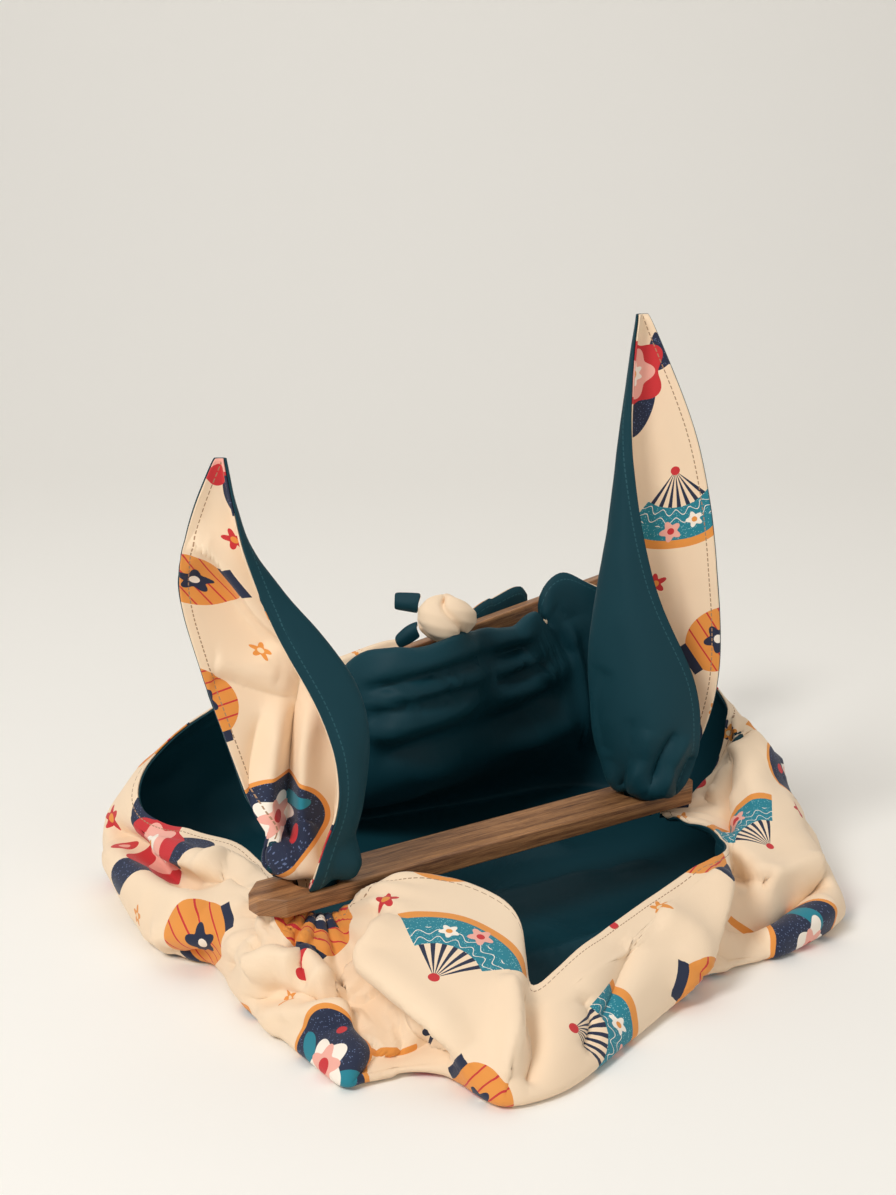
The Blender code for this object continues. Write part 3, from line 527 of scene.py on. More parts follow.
def lay_flat(bm, seams):
    """The body's own "cloth" map, in metres: the surface is cut along the seams and laid flat."""
    for e in seams:
        e.seam = True
    mesh = bpy.data.meshes.new("laid_flat")
    bm.to_mesh(mesh)
    cloth = add_object("laid_flat", mesh)
    bpy.context.view_layer.objects.active = cloth
    bpy.ops.object.mode_set(mode="EDIT")
    bpy.ops.mesh.select_all(action="SELECT")
    bpy.ops.uv.unwrap(method="ANGLE_BASED", margin=0.01)
    bpy.ops.object.mode_set(mode="OBJECT")
    bm.clear()
    bm.from_mesh(mesh)
    bpy.data.objects.remove(cloth)
    bpy.data.meshes.remove(mesh)
    layer = bm.loops.layers.uv["cloth"]
    laid = 0.0
    for f in bm.faces:
        corners = [loop[layer].uv for loop in f.loops]
        laid += abs(sum(a.cross(b) for a, b in zip(corners, corners[1:] + corners[:1]))) / 2
    grow = (area_of(bm) / laid) ** 0.5
    for f in bm.faces:
        for loop in f.loops:
            loop[layer].uv *= grow


def press(bm, height):
    """Each point moves along its normal, as far as height says for it, in mm."""
    bm.normal_update()
    moves = [v.normal * (height(v) * MM) for v in bm.verts]
    for v, move in zip(bm.verts, moves):
        v.co += move


def add_folds(bm, folds):
    """Straight creases and ridges, least at their ends."""
    lines = [(at(a), at(b), height, half * MM) for _, a, b, height, half in folds]

    def height_at(v):
        total = 0.0
        for a, b, height, half in lines:
            along = b - a
            t = min(max((v.co - a).dot(along) / along.length_squared, 0.0), 1.0)
            off = (v.co - a - along * t).length
            if off < 3 * half:
                total += height * (0.35 + 0.65 * math.sin(math.pi * t)) * math.exp(-((off / half) ** 2))
        return total

    press(bm, height_at)


def near_line(spots, normals, points):
    """How far each spot is from the line, how far along it from 0 to 1, and whether it is left of it."""
    path = np.array([at(p) for p in smooth_line(points, 5)])
    off, along, left = np.full(len(spots), 9.0), np.zeros(len(spots)), np.zeros(len(spots), bool)
    for k, (a, b) in enumerate(zip(path, path[1:])):
        run = b - a
        t = np.clip((spots - a) @ run / (run @ run), 0, 1)
        gap = spots - a - t[:, None] * run
        far = np.linalg.norm(gap, axis=1)
        closer = far < off
        off[closer] = far[closer]
        along[closer] = (k + t[closer]) / (len(path) - 1)
        left[closer] = (np.cross(normals[closer], run) * gap[closer]).sum(1) > 0
    return off, along, left


def press_creases(bm, creases, kept_below):
    """Rolls and creases along curved lines. Nothing moves below kept_below."""
    bm.normal_update()
    spots, normals = (np.array([getattr(v, part) for v in bm.verts]) for part in ("co", "normal"))
    move = np.zeros(len(spots))
    for _, points, height, left_half, right_half in creases:
        off, along, left = near_line(spots, normals, points)
        half = np.where(left, left_half, right_half) * MM
        fade = np.minimum(1.0, 0.15 + 2.0 * np.sin(np.pi * along))
        sharpness = 1.7 if height > 0 else 1.3
        move += height * MM * fade * np.exp(-((off / half) ** sharpness))
    move *= np.clip((spots[:, 2] / MM - kept_below) / 5.0, 0, 1)
    for v, m in zip(bm.verts, move):
        v.co += v.normal * m


def finer_near(bm, creases):
    """Faces beside the creases are split once more."""
    spots = np.array([f.calc_center_median() for f in bm.faces])
    normals = np.array([f.normal for f in bm.faces])
    split = np.zeros(len(spots), bool)
    for _, points, _, left_half, right_half in creases:
        off, _, _ = near_line(spots, normals, points)
        split |= off < 0.9 * max(left_half, right_half, 4.0) * MM
    edges = {e for f, chosen in zip(bm.faces, split) if chosen for e in f.edges}
    bmesh.ops.subdivide_edges(bm, edges=list(edges), cuts=1, use_grid_fill=True)


def pull(bm, pulls, kept_below):
    """Places drawn aside, up or down, with the cloth around them. Nothing sinks below kept_below."""
    low = kept_below * MM
    for _, centre, reach, move in pulls:
        middle, step = at(centre), Vector(move) * MM
        for v in bm.verts:
            away = (v.co - middle).length / MM
            if away < reach and v.co.z > low:
                share = (1 - smooth_step(0.15 * reach, reach, away)) * min(1.0, (v.co.z - low) / (4 * MM))
                v.co += step * share
                v.co.z = max(v.co.z, low)


def crumple(bm, places):
    """Sharp small wrinkles in places where the cloth is bunched."""

    def height_at(v):
        total = 0.0
        for _, centre, reach, depth, length in places:
            away = (v.co - at(centre)).length / MM
            if away < reach:
                sharp = 0.35 - abs(noise.noise(v.co / (length * MM)))
                total += depth * sharp * (1 - smooth_step(reach * 0.45, reach, away))
        return total

    press(bm, height_at)


def add_pleats(bm, pleats):
    """Pleats that run out from a gathered place, like the spokes of a fan."""

    def height_at(v):
        total = 0.0
        for _, centre, axis, count, near, far, depth in pleats:
            out, away = Vector(axis).normalized(), v.co - at(centre)
            flat = away - out * away.dot(out)
            r = away.length / MM
            if near * 0.4 < r < far:
                side = out.orthogonal()
                angle = math.atan2(flat.dot(out.cross(side)), flat.dot(side))
                sway = noise.noise(v.co * 28) * 1.6
                fade = smooth_step(near * 0.4, near, r) * (1 - smooth_step(near * 1.3, far, r))
                total += depth * fade * math.sin(angle * count + sway)
        return total

    press(bm, height_at)


def add_softness(bm, height, length, seed):
    """Slight waves all over, as in cloth that has been handled."""
    start = Vector((seed, seed * 2.0, -seed))

    def height_at(v):
        broad, small = v.co / (length * MM) + start, v.co / (length * 0.45 * MM) - start
        return height * (noise.noise(broad) + 0.4 * noise.noise(small))

    press(bm, height_at)


def refined(bm, levels):
    """The same surface with every face split and smoothed."""
    mesh = as_mesh("rough_cloth", bm)
    rough = add_object("rough_cloth", mesh)
    split = rough.modifiers.new("fine", "SUBSURF")
    split.levels = split.render_levels = levels
    shape = rough.evaluated_get(bpy.context.evaluated_depsgraph_get())
    fine = bmesh.new()
    fine.from_mesh(shape.to_mesh())
    shape.to_mesh_clear()
    bpy.data.objects.remove(rough)
    bpy.data.meshes.remove(mesh)
    return fine


def show(name, bm, material, node):
    """A finished piece that stands for a node of the solids."""
    mesh = as_mesh(name, bm)
    mesh.materials.append(material)
    mesh.shade_smooth()
    piece = add_object(name, mesh)
    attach(piece, "root")
    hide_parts(node)
    return piece


def make_layer(name, surface, side, material, node):
    """One layer of the cloth, on one side of the surface between the two layers."""
    bm = surface.copy()
    bm.normal_update()
    for v in bm.verts:
        v.co += v.normal * (side * LAYER_MIDDLE * MM)
    piece = show(name, bm, material, node)
    thick = piece.modifiers.new("thickness", "SOLIDIFY")
    thick.thickness = CLOTH * MM
    thick.offset = 0.0
    thick.use_even_offset = False


def make_layers(surface, names, nodes):
    """The printed layer and the lining. names and nodes have one entry for each."""
    make_layer(names[0], surface, 1, PRINTED, nodes[0])
    make_layer(names[1], surface, -1, LINING, nodes[1])
    surface.free()


def make_body():
    grid = smooth_grid(SECTIONS, STEPS_UP, STEPS_AROUND, closed=True)
    lines = [[(x, y, max(z, BASE_Z)) for x, y, z in line] for line in grid + [grid[0]]]
    bm, where = cloth_grid(lines)
    around = running_length([line[GIRTH_RING] for line in lines])
    up = [running_length(line) for line in lines]

    def hem(v):
        i, j = where[v]
        return around[i] * MM, (up[i][-1] - up[i][j]) * MM

    write_map(bm, "cloth", hem)
    write_map(bm, "hem", hem)
    bmesh.ops.remove_doubles(bm, verts=bm.verts[:], dist=0.00002)
    middle = [e for e in bm.edges if e.is_boundary and max(v.co.z for v in e.verts) < 3 * BASE_Z * MM]
    bmesh.ops.holes_fill(bm, edges=middle, sides=0)
    kept = [(v, i, j) for v, (i, j) in where.items() if v.is_valid]
    foot = {v for v, i, j in kept if j == FLOOR_RING}
    back = {v for v, i, j in kept if i == BACK_SEAM and j >= FLOOR_RING}
    seams = [e for e in bm.edges for side in (foot, back) if e.verts[0] in side and e.verts[1] in side]
    add_folds(bm, FOLDS)
    lay_flat(bm, seams)
    fine = refined(bm, FINE)
    pull(fine, PULLS, kept_below=-1.0)
    finer_near(fine, CREASES)
    press_creases(fine, CREASES, kept_below=-1.0)
    crumple(fine, CRUMPLES)
    add_pleats(fine, PLEATS)
    add_softness(fine, height=0.7, length=34.0, seed=3.0)
    for v in fine.verts:
        v.co.z = max(v.co.z, BASE_Z * MM)
    flat = (CUT_LONG, round(area_of(fine) / CUT_LONG, 3))
    names, nodes = ("bag_outer", "bag_lining"), ("body_printed_cloth", "body_lining")
    make_layers(fine, names, nodes)


def make_ear(name, levels, creases, pulls, seed):
    """A front ear. Its lowest part is in the bar's hole and is left as it is."""
    rows = [[(x, y, z) for x, y in points] for z, *points in levels]
    lines = list(zip(*smooth_grid(rows, EAR_STEPS_ACROSS, 1, closed=False)))
    bm, where = cloth_grid(lines)
    middle = 2 * EAR_STEPS_ACROSS
    up = running_length(lines[middle])
    across = [running_length(row) for row in zip(*lines)]

    def cut(v):
        i, j = where[v]
        return (across[j][i] - across[j][middle]) * MM, up[j] * MM

    def hem(v):
        i, j = where[v]
        return up[j] * MM, min(across[j][i], across[j][-1] - across[j][i]) * MM

    write_map(bm, "cloth", cut)
    write_map(bm, "hem", hem)
    add_folds(bm, EAR_FOLDS)
    fine = refined(bm, EAR_FINE)
    pull(fine, pulls, kept_below=61.8)
    finer_near(fine, creases)
    press_creases(fine, creases, kept_below=61.5)
    add_softness(fine, height=0.5, length=26.0, seed=seed)
    flat = (round(area_of(fine) / EAR_LONG, 3), EAR_LONG)
    names, nodes = (name + "_print", name + "_teal"), (name + "_printed_cloth", name + "_lining")
    make_layers(fine, names, nodes)


# ---------------------------------------------------------------- wooden bars

def bar_place(centre, yaw, rise=0.0, roll=0.0):
    turns = [Matrix.Rotation(math.radians(a), 4, axis) for a, axis in ((yaw, "Z"), (-rise, "Y"), (roll, "X"))]
    return Matrix.Translation(at(centre)) @ turns[0] @ turns[1] @ turns[2]


def make_bar(name, place, node, wood):
    """A flat bar with cut-off corners and two round holes, every edge rounded. Its grain runs along it."""
    x, y, c = BAR_LONG / 2 * MM, BAR_WIDE / 2 * MM, BAR_CHAMFER * MM
    bm = bmesh.new()
    corner = [(x, y - c), (x - c, y)]
    half = corner + [(-a, b) for a, b in reversed(corner)]
    verts = [bm.verts.new((a, b, 0.0)) for a, b in half + [(-a, -b) for a, b in half]]
    for a, b in zip(verts, verts[1:] + verts[:1]):
        bm.edges.new((a, b))
    for middle in (-HOLE_OFFSET, HOLE_OFFSET):
        spot = Matrix.Translation((middle * MM, 0, 0))
        bmesh.ops.create_circle(bm, segments=48, radius=HOLE_RADIUS * MM, matrix=spot)
    bmesh.ops.triangle_fill(bm, edges=bm.edges[:], use_beauty=True, use_dissolve=False)
    bmesh.ops.recalc_face_normals(bm, faces=bm.faces[:])
    if sum(f.normal.z for f in bm.faces) < 0:
        bmesh.ops.reverse_faces(bm, faces=bm.faces[:])
    grown = bmesh.ops.extrude_face_region(bm, geom=bm.faces[:], use_keep_orig=True)
    top = [v for v in grown["geom"] if isinstance(v, bmesh.types.BMVert)]
    bmesh.ops.translate(bm, verts=top, vec=(0, 0, BAR_THICK * MM))
    bmesh.ops.translate(bm, verts=bm.verts[:], vec=(0, 0, -BAR_THICK / 2 * MM))
    bmesh.ops.recalc_face_normals(bm, faces=bm.faces[:])
    sharp = [e for e in bm.edges if e.calc_face_angle(0.0) > math.radians(30)]
    bmesh.ops.bevel(
        bm, geom=sharp, offset=BAR_ARRIS * MM, segments=3, profile=0.5, affect="EDGES", material=-1,
        clamp_overlap=True,
    )
    write_map(bm, "grain", lambda v: (v.co.x, v.co.y + v.co.z * 1.7))
    bmesh.ops.transform(bm, matrix=place, verts=bm.verts[:])
    piece = show(name, bm, wood, node)
    piece.data.set_sharp_from_angle(angle=math.radians(34))


# ---------------------------------------------------------------- rear ears

def direction(line, k):
    """Which way the line runs at its point k."""
    return (line[min(k + 1, len(line) - 1)] - line[max(k - 1, 0)]).normalized()


def sweep(line, radius, segments):
    """A tube along the line, each ring bridged to the next, with its ends filled."""
    bm = bmesh.new()
    rings = []
    for k, point in enumerate(line):
        turn = direction(line, k).to_track_quat("Z", "Y").to_matrix().to_4x4()
        spot = Matrix.Translation(point) @ turn
        ring = set(bmesh.ops.create_circle(bm, segments=segments, radius=radius, matrix=spot)["verts"])
        rings.append([e for e in bm.edges if e.verts[0] in ring])
    for a, b in zip(rings, rings[1:]):
        bmesh.ops.bridge_loops(bm, edges=a + b)
    bmesh.ops.holes_fill(bm, edges=[e for e in bm.edges if e.is_boundary], sides=0)
    bmesh.ops.recalc_face_normals(bm, faces=bm.faces[:])
    return bm


def map_by_place(bm, middle=Vector()):
    """The maps of bunched cloth, as seen from the left, where there is no simple cut."""
    def cut(v):
        p = v.co - middle
        return p.x + 0.4 * p.y, p.z + 0.2 * p.y

    write_map(bm, "cloth", cut)
    write_map(bm, "hem", lambda v: (v.co.x - middle.x, 1.0))


def run_pleats(bm, line, count, depth):
    """Pleats that run along a strand."""
    def height_at(v):
        near = min(range(len(line)), key=lambda k: (line[k] - v.co).length_squared)
        ahead = direction(line, near)
        side = ahead.orthogonal().normalized()
        away = v.co - line[near]
        angle = math.atan2(away.dot(ahead.cross(side)), away.dot(side))
        return depth * math.sin(count * angle + near * 0.12)

    press(bm, height_at)


def make_rear_ear(name, place, way, start, turn):
    """The gathered strand, its knot and the two free ends. way is 1 or -1, the side the strand comes out."""
    out = place.to_3x3() @ Vector((0, 0, way))
    along = place.to_3x3() @ Vector((-way, 0, 0))
    up = Vector((0, 0, 1))
    through = place @ Vector((-way * HOLE_OFFSET * MM, 0, 0)) - along * STRAND_SIDE * MM
    knot = through + (out * KNOT_OUT + up * KNOT_UP + along * KNOT_ALONG) * MM
    foot = KNOT_SIZE[2] * (1 + KNOT_TURNS) + SEAT + 0.5
    points = [at(p) for p in start]
    points += [through - out * 8 * MM, through + out * 8 * MM]
    points += [through + (out * 16 + up * 6 + along * 6) * MM, knot - up * foot * MM]
    line = [Vector(p) for p in smooth_line([tuple(p) for p in points], 8)]
    bm = sweep(line, STRAND_RADIUS * MM, segments=28)
    run_pleats(bm, line, count=5, depth=0.7)
    map_by_place(bm)
    show(name + "_gathers", bm, PRINTED, name + "_strand")
    bm = bmesh.new()
    bmesh.ops.create_uvsphere(bm, u_segments=72, v_segments=40, radius=1.0)
    for v in bm.verts:
        angle = math.atan2(v.co.y, v.co.x)
        bands = math.cos(3 * angle + 2.4 * v.co.z)
        fine_bands = math.sin(14 * v.co.z + 5 * math.sin(angle + 1.0))
        crease = -max(0.0, -bands) ** 6 * 0.2 + 0.012 * fine_bands
        v.co = Vector([c * (1 + KNOT_TURNS * bands + crease) * size * MM for c, size in zip(v.co, KNOT_SIZE)])
    bmesh.ops.translate(bm, verts=bm.verts[:], vec=knot)
    map_by_place(bm, knot - Vector((0.01, 0.0, 0.003)))
    show(name + "_tied_knot", bm, PRINTED, name + "_knot")
    for number, rows in enumerate(FREE_ENDS, 1):
        make_free_end(f"{name}_tail_{number}", f"{name}_end_{number}", knot, turn, rows)


def make_free_end(name, node, centre, turn, rows):
    """A free end, slid along its length to where its solid is."""
    tip_low, tip_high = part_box(node + "_printed_cloth")
    points = [[centre + turn @ Vector(p) * MM for p in row] for row in rows]
    middle = sum((p for row in points for p in row), Vector()) / 9
    seat = turn @ Vector((1, 0, 0))
    slide = seat * ((tip_low + tip_high) / 2 - middle).dot(seat)
    placed = [[tuple((p + slide - SHIFT) / MM) for p in row] for row in points]
    lines = smooth_grid(placed, 2, 2, closed=False)
    bm, where = cloth_grid(lines)

    def cut(v):
        x, _, z = lines[where[v][0]][where[v][1]]
        return x * MM, z * MM

    write_map(bm, "cloth", cut)
    write_map(bm, "hem", lambda v: (where[v][0] * 0.01, 1.0))
    fine = refined(bm, FINE)
    side = round(area_of(fine) ** 0.5, 4)
    names, nodes = (name + "_print", name + "_teal"), (node + "_printed_cloth", node + "_lining")
    make_layers(fine, names, nodes)


# ---------------------------------------------------------------- finishes

def linear(r, g, b):
    """A colour given as 0 to 255 screen values."""
    values = [c / 255 for c in (r, g, b)]
    return tuple(c / 12.92 if c <= 0.04045 else ((c + 0.055) / 1.055) ** 2.4 for c in values) + (1.0,)


def feed(tree, socket, value):
    """A socket is given a field, another socket, or a plain value."""
    if isinstance(value, Field):
        value = value.socket
    if isinstance(value, bpy.types.NodeSocket):
        tree.links.new(value, socket)
    else:
        socket.default_value = value


def give(tree, node, inputs):
    """The node's inputs, by name or by number."""
    for key, value in inputs.items():
        feed(tree, node.inputs[key], value)


def add_node(tree, kind, inputs):
    node = tree.nodes.new("ShaderNode" + kind)
    give(tree, node, inputs)
    return node


class Field:
    """A number that varies over a surface. Sums, products and comparisons of fields make Math nodes."""

    def __init__(self, tree, socket):
        self.tree, self.socket = tree, socket

    def math(self, operation, *others):
        node = self.tree.nodes.new("ShaderNodeMath")
        node.operation = operation
        for k, value in enumerate((self,) + others):
            feed(self.tree, node.inputs[k], value)
        return Field(self.tree, node.outputs[0])

    __add__ = partialmethod(math, "ADD")
    __sub__ = partialmethod(math, "SUBTRACT")
    __mul__ = partialmethod(math, "MULTIPLY")
    __truediv__ = partialmethod(math, "DIVIDE")
    __gt__ = partialmethod(math, "GREATER_THAN")
    __lt__ = partialmethod(math, "LESS_THAN")
    __abs__ = partialmethod(math, "ABSOLUTE")
    cos = partialmethod(math, "COSINE")
    sin = partialmethod(math, "SINE")
    fract = partialmethod(math, "FRACT")
    floor = partialmethod(math, "FLOOR")
    root = partialmethod(math, "SQRT")
    angle_from = partialmethod(math, "ARCTAN2")


def new_material(name):
    material = bpy.data.materials.new(name)
    material.use_nodes = True
    tree = material.node_tree
    return material, tree, tree.nodes["Principled BSDF"]


def cloth_map(tree, name):
    """The two numbers of a map, in mm."""
    node = tree.nodes.new("ShaderNodeUVMap")
    node.uv_map = name
    split = add_node(tree, "SeparateXYZ", {0: node.outputs[0]})
    return node.outputs[0], Field(tree, split.outputs[0]) * 1000, Field(tree, split.outputs[1]) * 1000


def noise_field(tree, vector, scale, detail=2.0, roughness=0.5):
    inputs = {"Scale": scale, "Detail": detail, "Roughness": roughness, "Vector": vector}
    return Field(tree, add_node(tree, "TexNoise", inputs).outputs[0])


def mixed(tree, share, first, second):
    """first where share is 0 and second where it is 1."""
    node = tree.nodes.new("ShaderNodeMix")
    node.data_type = "RGBA"
    give(tree, node, {0: share, 6: first, 7: second})
    return node.outputs[2]


def bump(tree, shader, height, strength, distance):
    node = add_node(tree, "Bump", {"Strength": strength, "Distance": distance, "Height": height})
    tree.links.new(node.outputs[0], shader.inputs["Normal"])


CREAM = linear(243, 217, 178)
TEAL = linear(24, 128, 146)
NAVY = linear(27, 38, 66)
ORANGE = linear(232, 150, 66)
RED = linear(204, 44, 50)
PINK = linear(243, 176, 160)
WHITE = linear(250, 240, 226)


def in_disc(x, y, cx, cy, radius):
    return ((x - cx) * (x - cx) + (y - cy) * (y - cy)) < radius * radius


def in_oval(x, y, cx, cy, a, b):
    dx, dy = (x - cx) / a, (y - cy) / b
    return (dx * dx + dy * dy) < 1.0


def in_flower(x, y, cx, cy, radius, petals=5, depth=0.2, turn=0.0):
    dx, dy = x - cx, y - cy
    r = (dx * dx + dy * dy).root()
    edge = ((dy.angle_from(dx) * float(petals) + turn).cos() * depth + (1 - depth)) * radius
    return r < edge


def lattice(tree, u, v, width, height, seed):
    """Cells in staggered rows: the place within a cell, from its middle, and three random numbers for it."""
    row = (v / height).floor()
    slid = u + (row * 0.5).fract() * width
    column = (slid / width).floor()
    x = slid - (column + 0.5) * width
    y = v - (row + 0.5) * height
    white = tree.nodes.new("ShaderNodeTexWhiteNoise")
    cell = add_node(tree, "CombineXYZ", {0: column, 1: row, 2: seed})
    tree.links.new(cell.outputs[0], white.inputs["Vector"])
    split = add_node(tree, "SeparateColor", {0: white.outputs["Color"]})
    return x, y, [Field(tree, s) for s in split.outputs[:3]]


def turned(x, y, angle):
    c, s = angle.cos(), angle.sin()
    return x * c - y * s, x * s + y * c


def folding_fan(x, y, ink):
    """An open folding fan with a painted leaf, an orange edge and dark sticks."""
    dy = y + 22
    r = (x * x + dy * dy).root()
    spread = abs(x.angle_from(dy)) < 0.86
    leaf = spread * (r < 47) * (r > 22)
    sticks = spread * (r < 22.5) * ((x.angle_from(dy) * 26.0).cos() > 0.15)
    edge = leaf * (r > 42)
    waves = leaf * ((r / 5.0 + (x.angle_from(dy) * 20.0).sin() * 0.35).fract() < 0.10) * (r < 34)
    return [
        (sticks, NAVY), (leaf, ink), (waves, WHITE), (edge, ORANGE),
        (in_flower(x, y, 6, 14, 6.5), PINK), (in_disc(x, y, 6, 14, 2.0), RED),
        (in_flower(x, y, -8, 9, 5.0), WHITE), (in_disc(x, y, -8, 9, 1.6), ORANGE),
        (in_disc(x, y, 0, -22, 2.6), RED),
    ]


def round_fan(x, y, ink):
    """A round paper fan on a short handle, with a camellia painted on it."""
    handle = (abs(x) < 2.0) * (y > -37) * (y < -16)
    return [
        (handle, ORANGE), (in_oval(x, y, 0, 6, 27, 25), ORANGE), (in_oval(x, y, 0, 6, 25, 23), ink),
        (in_oval(x, y, 10, 16, 9, 4), TEAL), (in_oval(x, y, -13, -2, 4, 9), TEAL),
        (in_flower(x, y, -3, 8, 13.5, 5, 0.16), WHITE), (in_flower(x, y, -3, 8, 10.0, 5, 0.2, 3.1), PINK),
        (in_disc(x, y, -3, 8, 3.6), RED), (in_disc(x, y, 13, -2, 3.0), RED),
    ]


def lantern(x, y, ink):
    """A paper lantern with dark caps, hoops and a tassel."""
    paper = in_oval(x, y, 0, 2, 19, 22)
    hoops = paper * ((y / 7.0).fract() < 0.13)
    cap = (abs(x) < 9.5) * (abs(y - 2) < 25) * (abs(y - 2) > 19)
    tassel = (abs(x) < 1.4) * (y < -20) * (y > -31)
    return [
        (tassel, RED), (in_disc(x, y, 0, -33, 3.2), RED), (paper, ORANGE), (hoops, RED), (cap, NAVY),
        (in_flower(x, y, 1, 3, 9.0), NAVY), (in_disc(x, y, 1, 3, 2.6), WHITE),
    ]


def camellia(x, y, ink):
    """A large camellia with dark leaves and a bud."""
    return [
        (in_oval(x, y, 17, 12, 17, 8.5), ink), (in_oval(x, y, -20, 14, 15, 8), ink),
        (in_oval(x, y, 2, -23, 8, 13), ink), (in_flower(x, y, 0, 0, 22, 5, 0.12), RED),
        (in_flower(x, y, 0, 0, 15, 5, 0.14, 3.1), PINK), (in_flower(x, y, 0, 0, 7.5, 8, 0.14), WHITE),
        (in_disc(x, y, 0, 0, 3.4), ORANGE), (in_disc(x, y, 24, -14, 5.0), RED),
        (in_disc(x, y, 24, -14, 2.2), PINK),
    ]


CELL = (84.0, 76.0)  # room for one large motif
BLOSSOMS = [
    # x, y, size, petals, heart, share of the cells up to which it is picked
    (0, 0, 6.5, NAVY, CREAM, 0.3),
    (3, -2, 5.5, ORANGE, CREAM, 0.65),
    (-2, 4, 6.5, RED, ORANGE, 1.01),
]
FULL_TURN = 6.283


def print_colour(tree):
    """Fans, lanterns, camellias and scattered blossoms on a cream ground."""
    vector, u, v = cloth_map(tree, "cloth")
    ground = noise_field(tree, vector, 9.0)
    colour = mixed(tree, ground, linear(242, 213, 180), linear(250, 227, 197))
    grains = add_node(tree, "TexVoronoi", {"Scale": 900.0, "Vector": vector})
    speckle = Field(tree, grains.outputs["Distance"]) < 0.22
    speckled_teal = mixed(tree, speckle, TEAL, linear(140, 200, 205))
    speckled_navy = mixed(tree, speckle, NAVY, linear(96, 112, 150))
    x, y, (pick, spin, _) = lattice(tree, u, v, *CELL, 5.0)
    x, y = turned(x, y, spin * FULL_TURN)
    for k, motif in enumerate((folding_fan, round_fan, lantern, camellia)):
        chosen = (pick > k / 4) * (pick < (k + 1) / 4 + 0.0001)
        ink = speckled_navy if motif in (round_fan, camellia) else speckled_teal
        for mask, paint in motif(x, y, ink):
            colour = mixed(tree, mask * chosen, colour, paint)
    x, y, (_, spin, tint) = lattice(tree, u - 42.0, v - 27.0, *CELL, 9.0)
    x, y = turned(x, y, spin * FULL_TURN)
    for cx, cy, size, paint, heart, share in BLOSSOMS:
        here = (tint < share) * (tint > share - 0.36)
        colour = mixed(tree, in_flower(x, y, cx, cy, size, 5, 0.26) * here, colour, paint)
        colour = mixed(tree, in_disc(x, y, cx, cy, size * 0.3) * here, colour, heart)
    return vector, u, v, colour


def stitched(tree, colour, thread, in_from_edge, gap):
    """The colour with a row of stitches beside the hem, and the groove that they pull the cloth into."""
    _, along, deep = cloth_map(tree, "hem")
    row = abs(deep - in_from_edge) < 0.32
    dash = (along / gap).fract() < 0.68
    return mixed(tree, row * dash, colour, thread), row * 1.0


def weave_height(tree, vector, u, v, count):
    """Threads over and under, count to the mm, with slubs."""
    warp = (u * (FULL_TURN * count)).sin()
    weft = (v * (FULL_TURN * count)).sin()
    slubs = noise_field(tree, vector, 260.0, 3.0)
    return warp * weft * 0.5 + slubs


def printed_cotton():
    material, tree, shader = new_material("printed_cotton_cloth")
    vector, u, v, colour = print_colour(tree)
    colour, groove = stitched(tree, colour, linear(168, 132, 100), 4.5, 3.0)
    give(tree, shader, {"Base Color": colour, "Roughness": 0.82})
    give(tree, shader, {"Sheen Weight": 0.15, "Sheen Roughness": 0.5})
    bump(tree, shader, weave_height(tree, vector, u, v, 1.4) - groove * 1.5, 0.25, 0.0003)
    return material


def teal_lining():
    material, tree, shader = new_material("teal_lining_cloth")
    vector, u, v = cloth_map(tree, "cloth")
    colour = mixed(tree, noise_field(tree, vector, 14.0), linear(8, 52, 63), linear(13, 63, 74))
    colour, groove = stitched(tree, colour, linear(40, 84, 94), 5.0, 3.0)
    give(tree, shader, {"Base Color": colour, "Roughness": 0.6, "Specular IOR Level": 0.22})
    give(tree, shader, {"Sheen Weight": 0.06, "Sheen Roughness": 0.4, "Sheen Tint": linear(90, 160, 170)})
    bump(tree, shader, weave_height(tree, vector, u, v, 1.6) - groove * 1.5, 0.2, 0.0003)
    return material


def stained_wood():
    material, tree, shader = new_material("stained_wood_bar")
    node = tree.nodes.new("ShaderNodeUVMap")
    node.uv_map = "grain"
    grain = add_node(tree, "Mapping", {"Scale": (1.0, 22.0, 1.0), "Vector": node.outputs[0]}).outputs[0]
    broad = noise_field(tree, grain, 7.0, 5.0, 0.6)
    fine = noise_field(tree, grain, 55.0, 6.0, 0.7)
    pores = noise_field(tree, grain, 140.0, 2.0)
    ramp = tree.nodes.new("ShaderNodeValToRGB")
    for stop, place, tone in zip(ramp.color_ramp.elements, (0.38, 0.64), ((88, 50, 26), (196, 142, 92))):
        stop.position, stop.color = place, linear(*tone)
    feed(tree, ramp.inputs[0], broad * 0.6 + fine * 0.4)
    colour = mixed(tree, (pores > 0.62) * 0.45, ramp.outputs[0], linear(44, 24, 12))
    give(tree, shader, {"Base Color": colour, "Roughness": 0.5})
    bump(tree, shader, fine - (pores > 0.62) * 0.6, 0.3, 0.0004)
    return material


# ---------------------------------------------------------------- room, light and camera

def make_room():
    """A pale table that curves up into the wall behind it."""
    flat, bend, wall = 3.2, 1.5, 1.6  # lengths of the table and of the bend, and the wall's steepness
    front, radius = -1.9, 0.955
    bm = bmesh.new()
    bmesh.ops.create_grid(bm, x_segments=1, y_segments=48, size=0.5)
    for v in bm.verts:
        run = (v.co.y + 0.5) * 6.2
        turn = min(max((run - flat) / bend, 0.0), 1.0) * math.pi / 2
        y = front + min(run, flat) + radius * math.sin(turn)
        z = radius * (1 - math.cos(turn)) + max(run - flat - bend, 0.0) * wall
        v.co = Vector((v.co.x * 9.0, y, z))
    bmesh.ops.recalc_face_normals(bm, faces=bm.faces[:])
    mesh = as_mesh("room", bm)
    mesh.shade_smooth()
    material, tree, shader = new_material("pale_room")
    give(tree, shader, {"Base Color": linear(250, 248, 243), "Roughness": 0.7})
    mesh.materials.append(material)
    add_object("room", mesh)


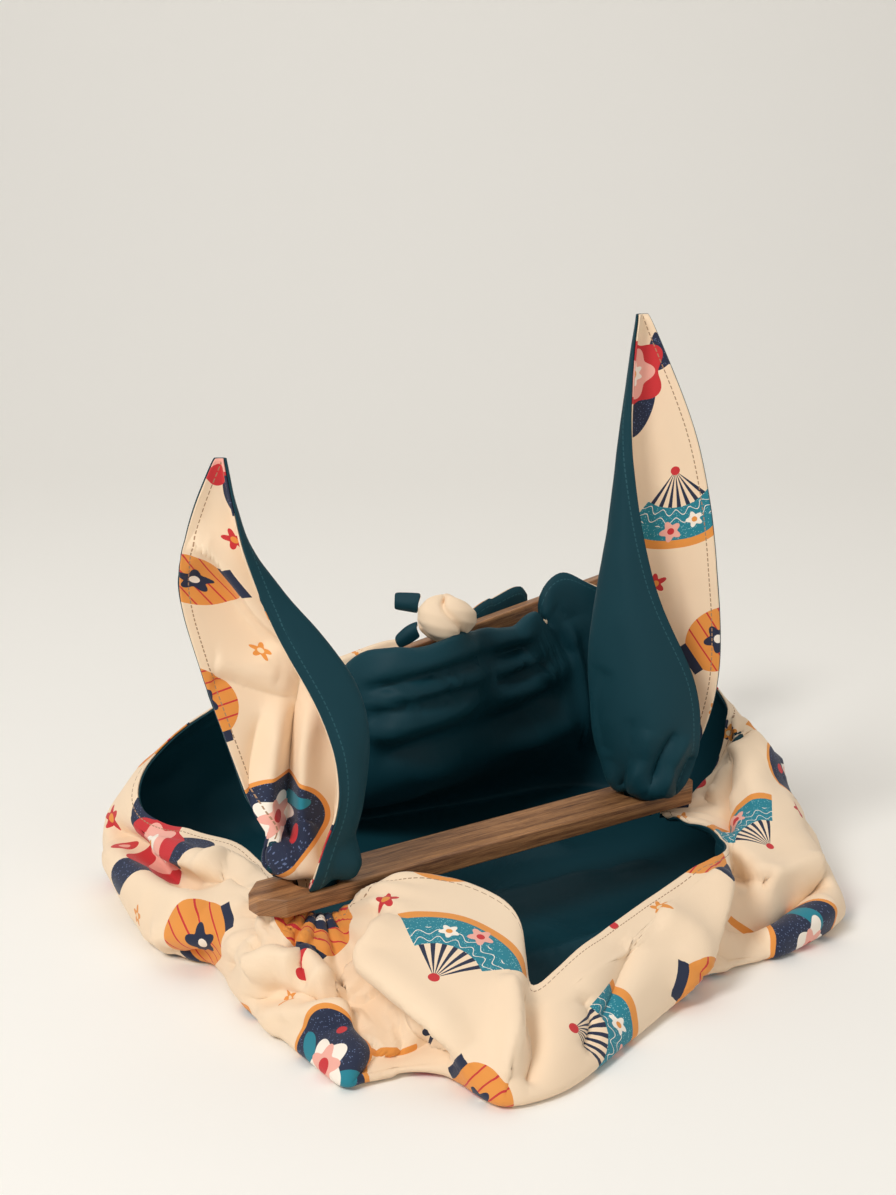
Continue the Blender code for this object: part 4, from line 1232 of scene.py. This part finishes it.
def add_light(name, place, size, power, colour):
    """A rectangular light that points at the bag."""
    light = bpy.data.lights.new(name, "AREA")
    light.shape = "RECTANGLE"
    light.size, light.size_y = size
    light.energy = power
    light.color = colour
    lamp = add_object(name, light)
    lamp.location = place
    lamp.rotation_euler = (Vector((0.0, 0.0, 0.08)) - Vector(place)).to_track_quat("-Z", "Y").to_euler()


def light_and_camera():
    add_light("window", (-1.15, -1.5, 1.85), (0.75, 0.75), 35.0, (1.0, 0.985, 0.965))
    add_light("front fill", (1.4, -1.8, 1.2), (1.6, 1.2), 7.5, (1.0, 0.985, 0.965))
    add_light("ceiling", (0.0, 0.9, 2.2), (2.0, 2.0), 11.0, (1.0, 0.99, 0.97))
    world = bpy.data.worlds.new("soft white")
    world.use_nodes = True
    give(world.node_tree, world.node_tree.nodes["Background"], {0: (1.0, 0.965, 0.92, 1.0), 1: 0.36})
    scene = bpy.context.scene
    scene.world = world
    lens = bpy.data.cameras.new("camera")
    lens.sensor_width = 36.0
    lens.lens = 57.2385
    camera = add_object("camera", lens)
    camera.location = at((-10.0, -1020.0, 444.0))
    camera.rotation_euler = (math.radians(90.0 - 14.3), 0.0, 0.0)
    scene.camera = camera
    scene.view_settings.view_transform = "Standard"


light_and_camera()
PRINTED = printed_cotton()
LINING = teal_lining()
WOOD = stained_wood()
make_room()
make_body()
make_ear("ear_front_left", LEFT_EAR, LEFT_EAR_CREASES, LEFT_EAR_PULLS, 1.0)
make_ear("ear_front_right", RIGHT_EAR, RIGHT_EAR_CREASES, RIGHT_EAR_PULLS, 2.0)
front = bar_place(FRONT_BAR_CENTRE, FRONT_BAR_YAW)
rear = bar_place(REAR_BAR_CENTRE, REAR_BAR_YAW, REAR_BAR_RISE, REAR_BAR_ROLL)
make_bar("front_handle_bar", front, "bar_front", WOOD)
make_bar("rear_handle_bar", rear, "bar_rear", WOOD)
make_rear_ear("ear_rear_left", rear, 1, LEFT_STRAND_START, Matrix.Identity(3))
make_rear_ear("ear_rear_right", rear, -1, RIGHT_STRAND_START, Matrix.Rotation(math.radians(-90), 3, "Z"))
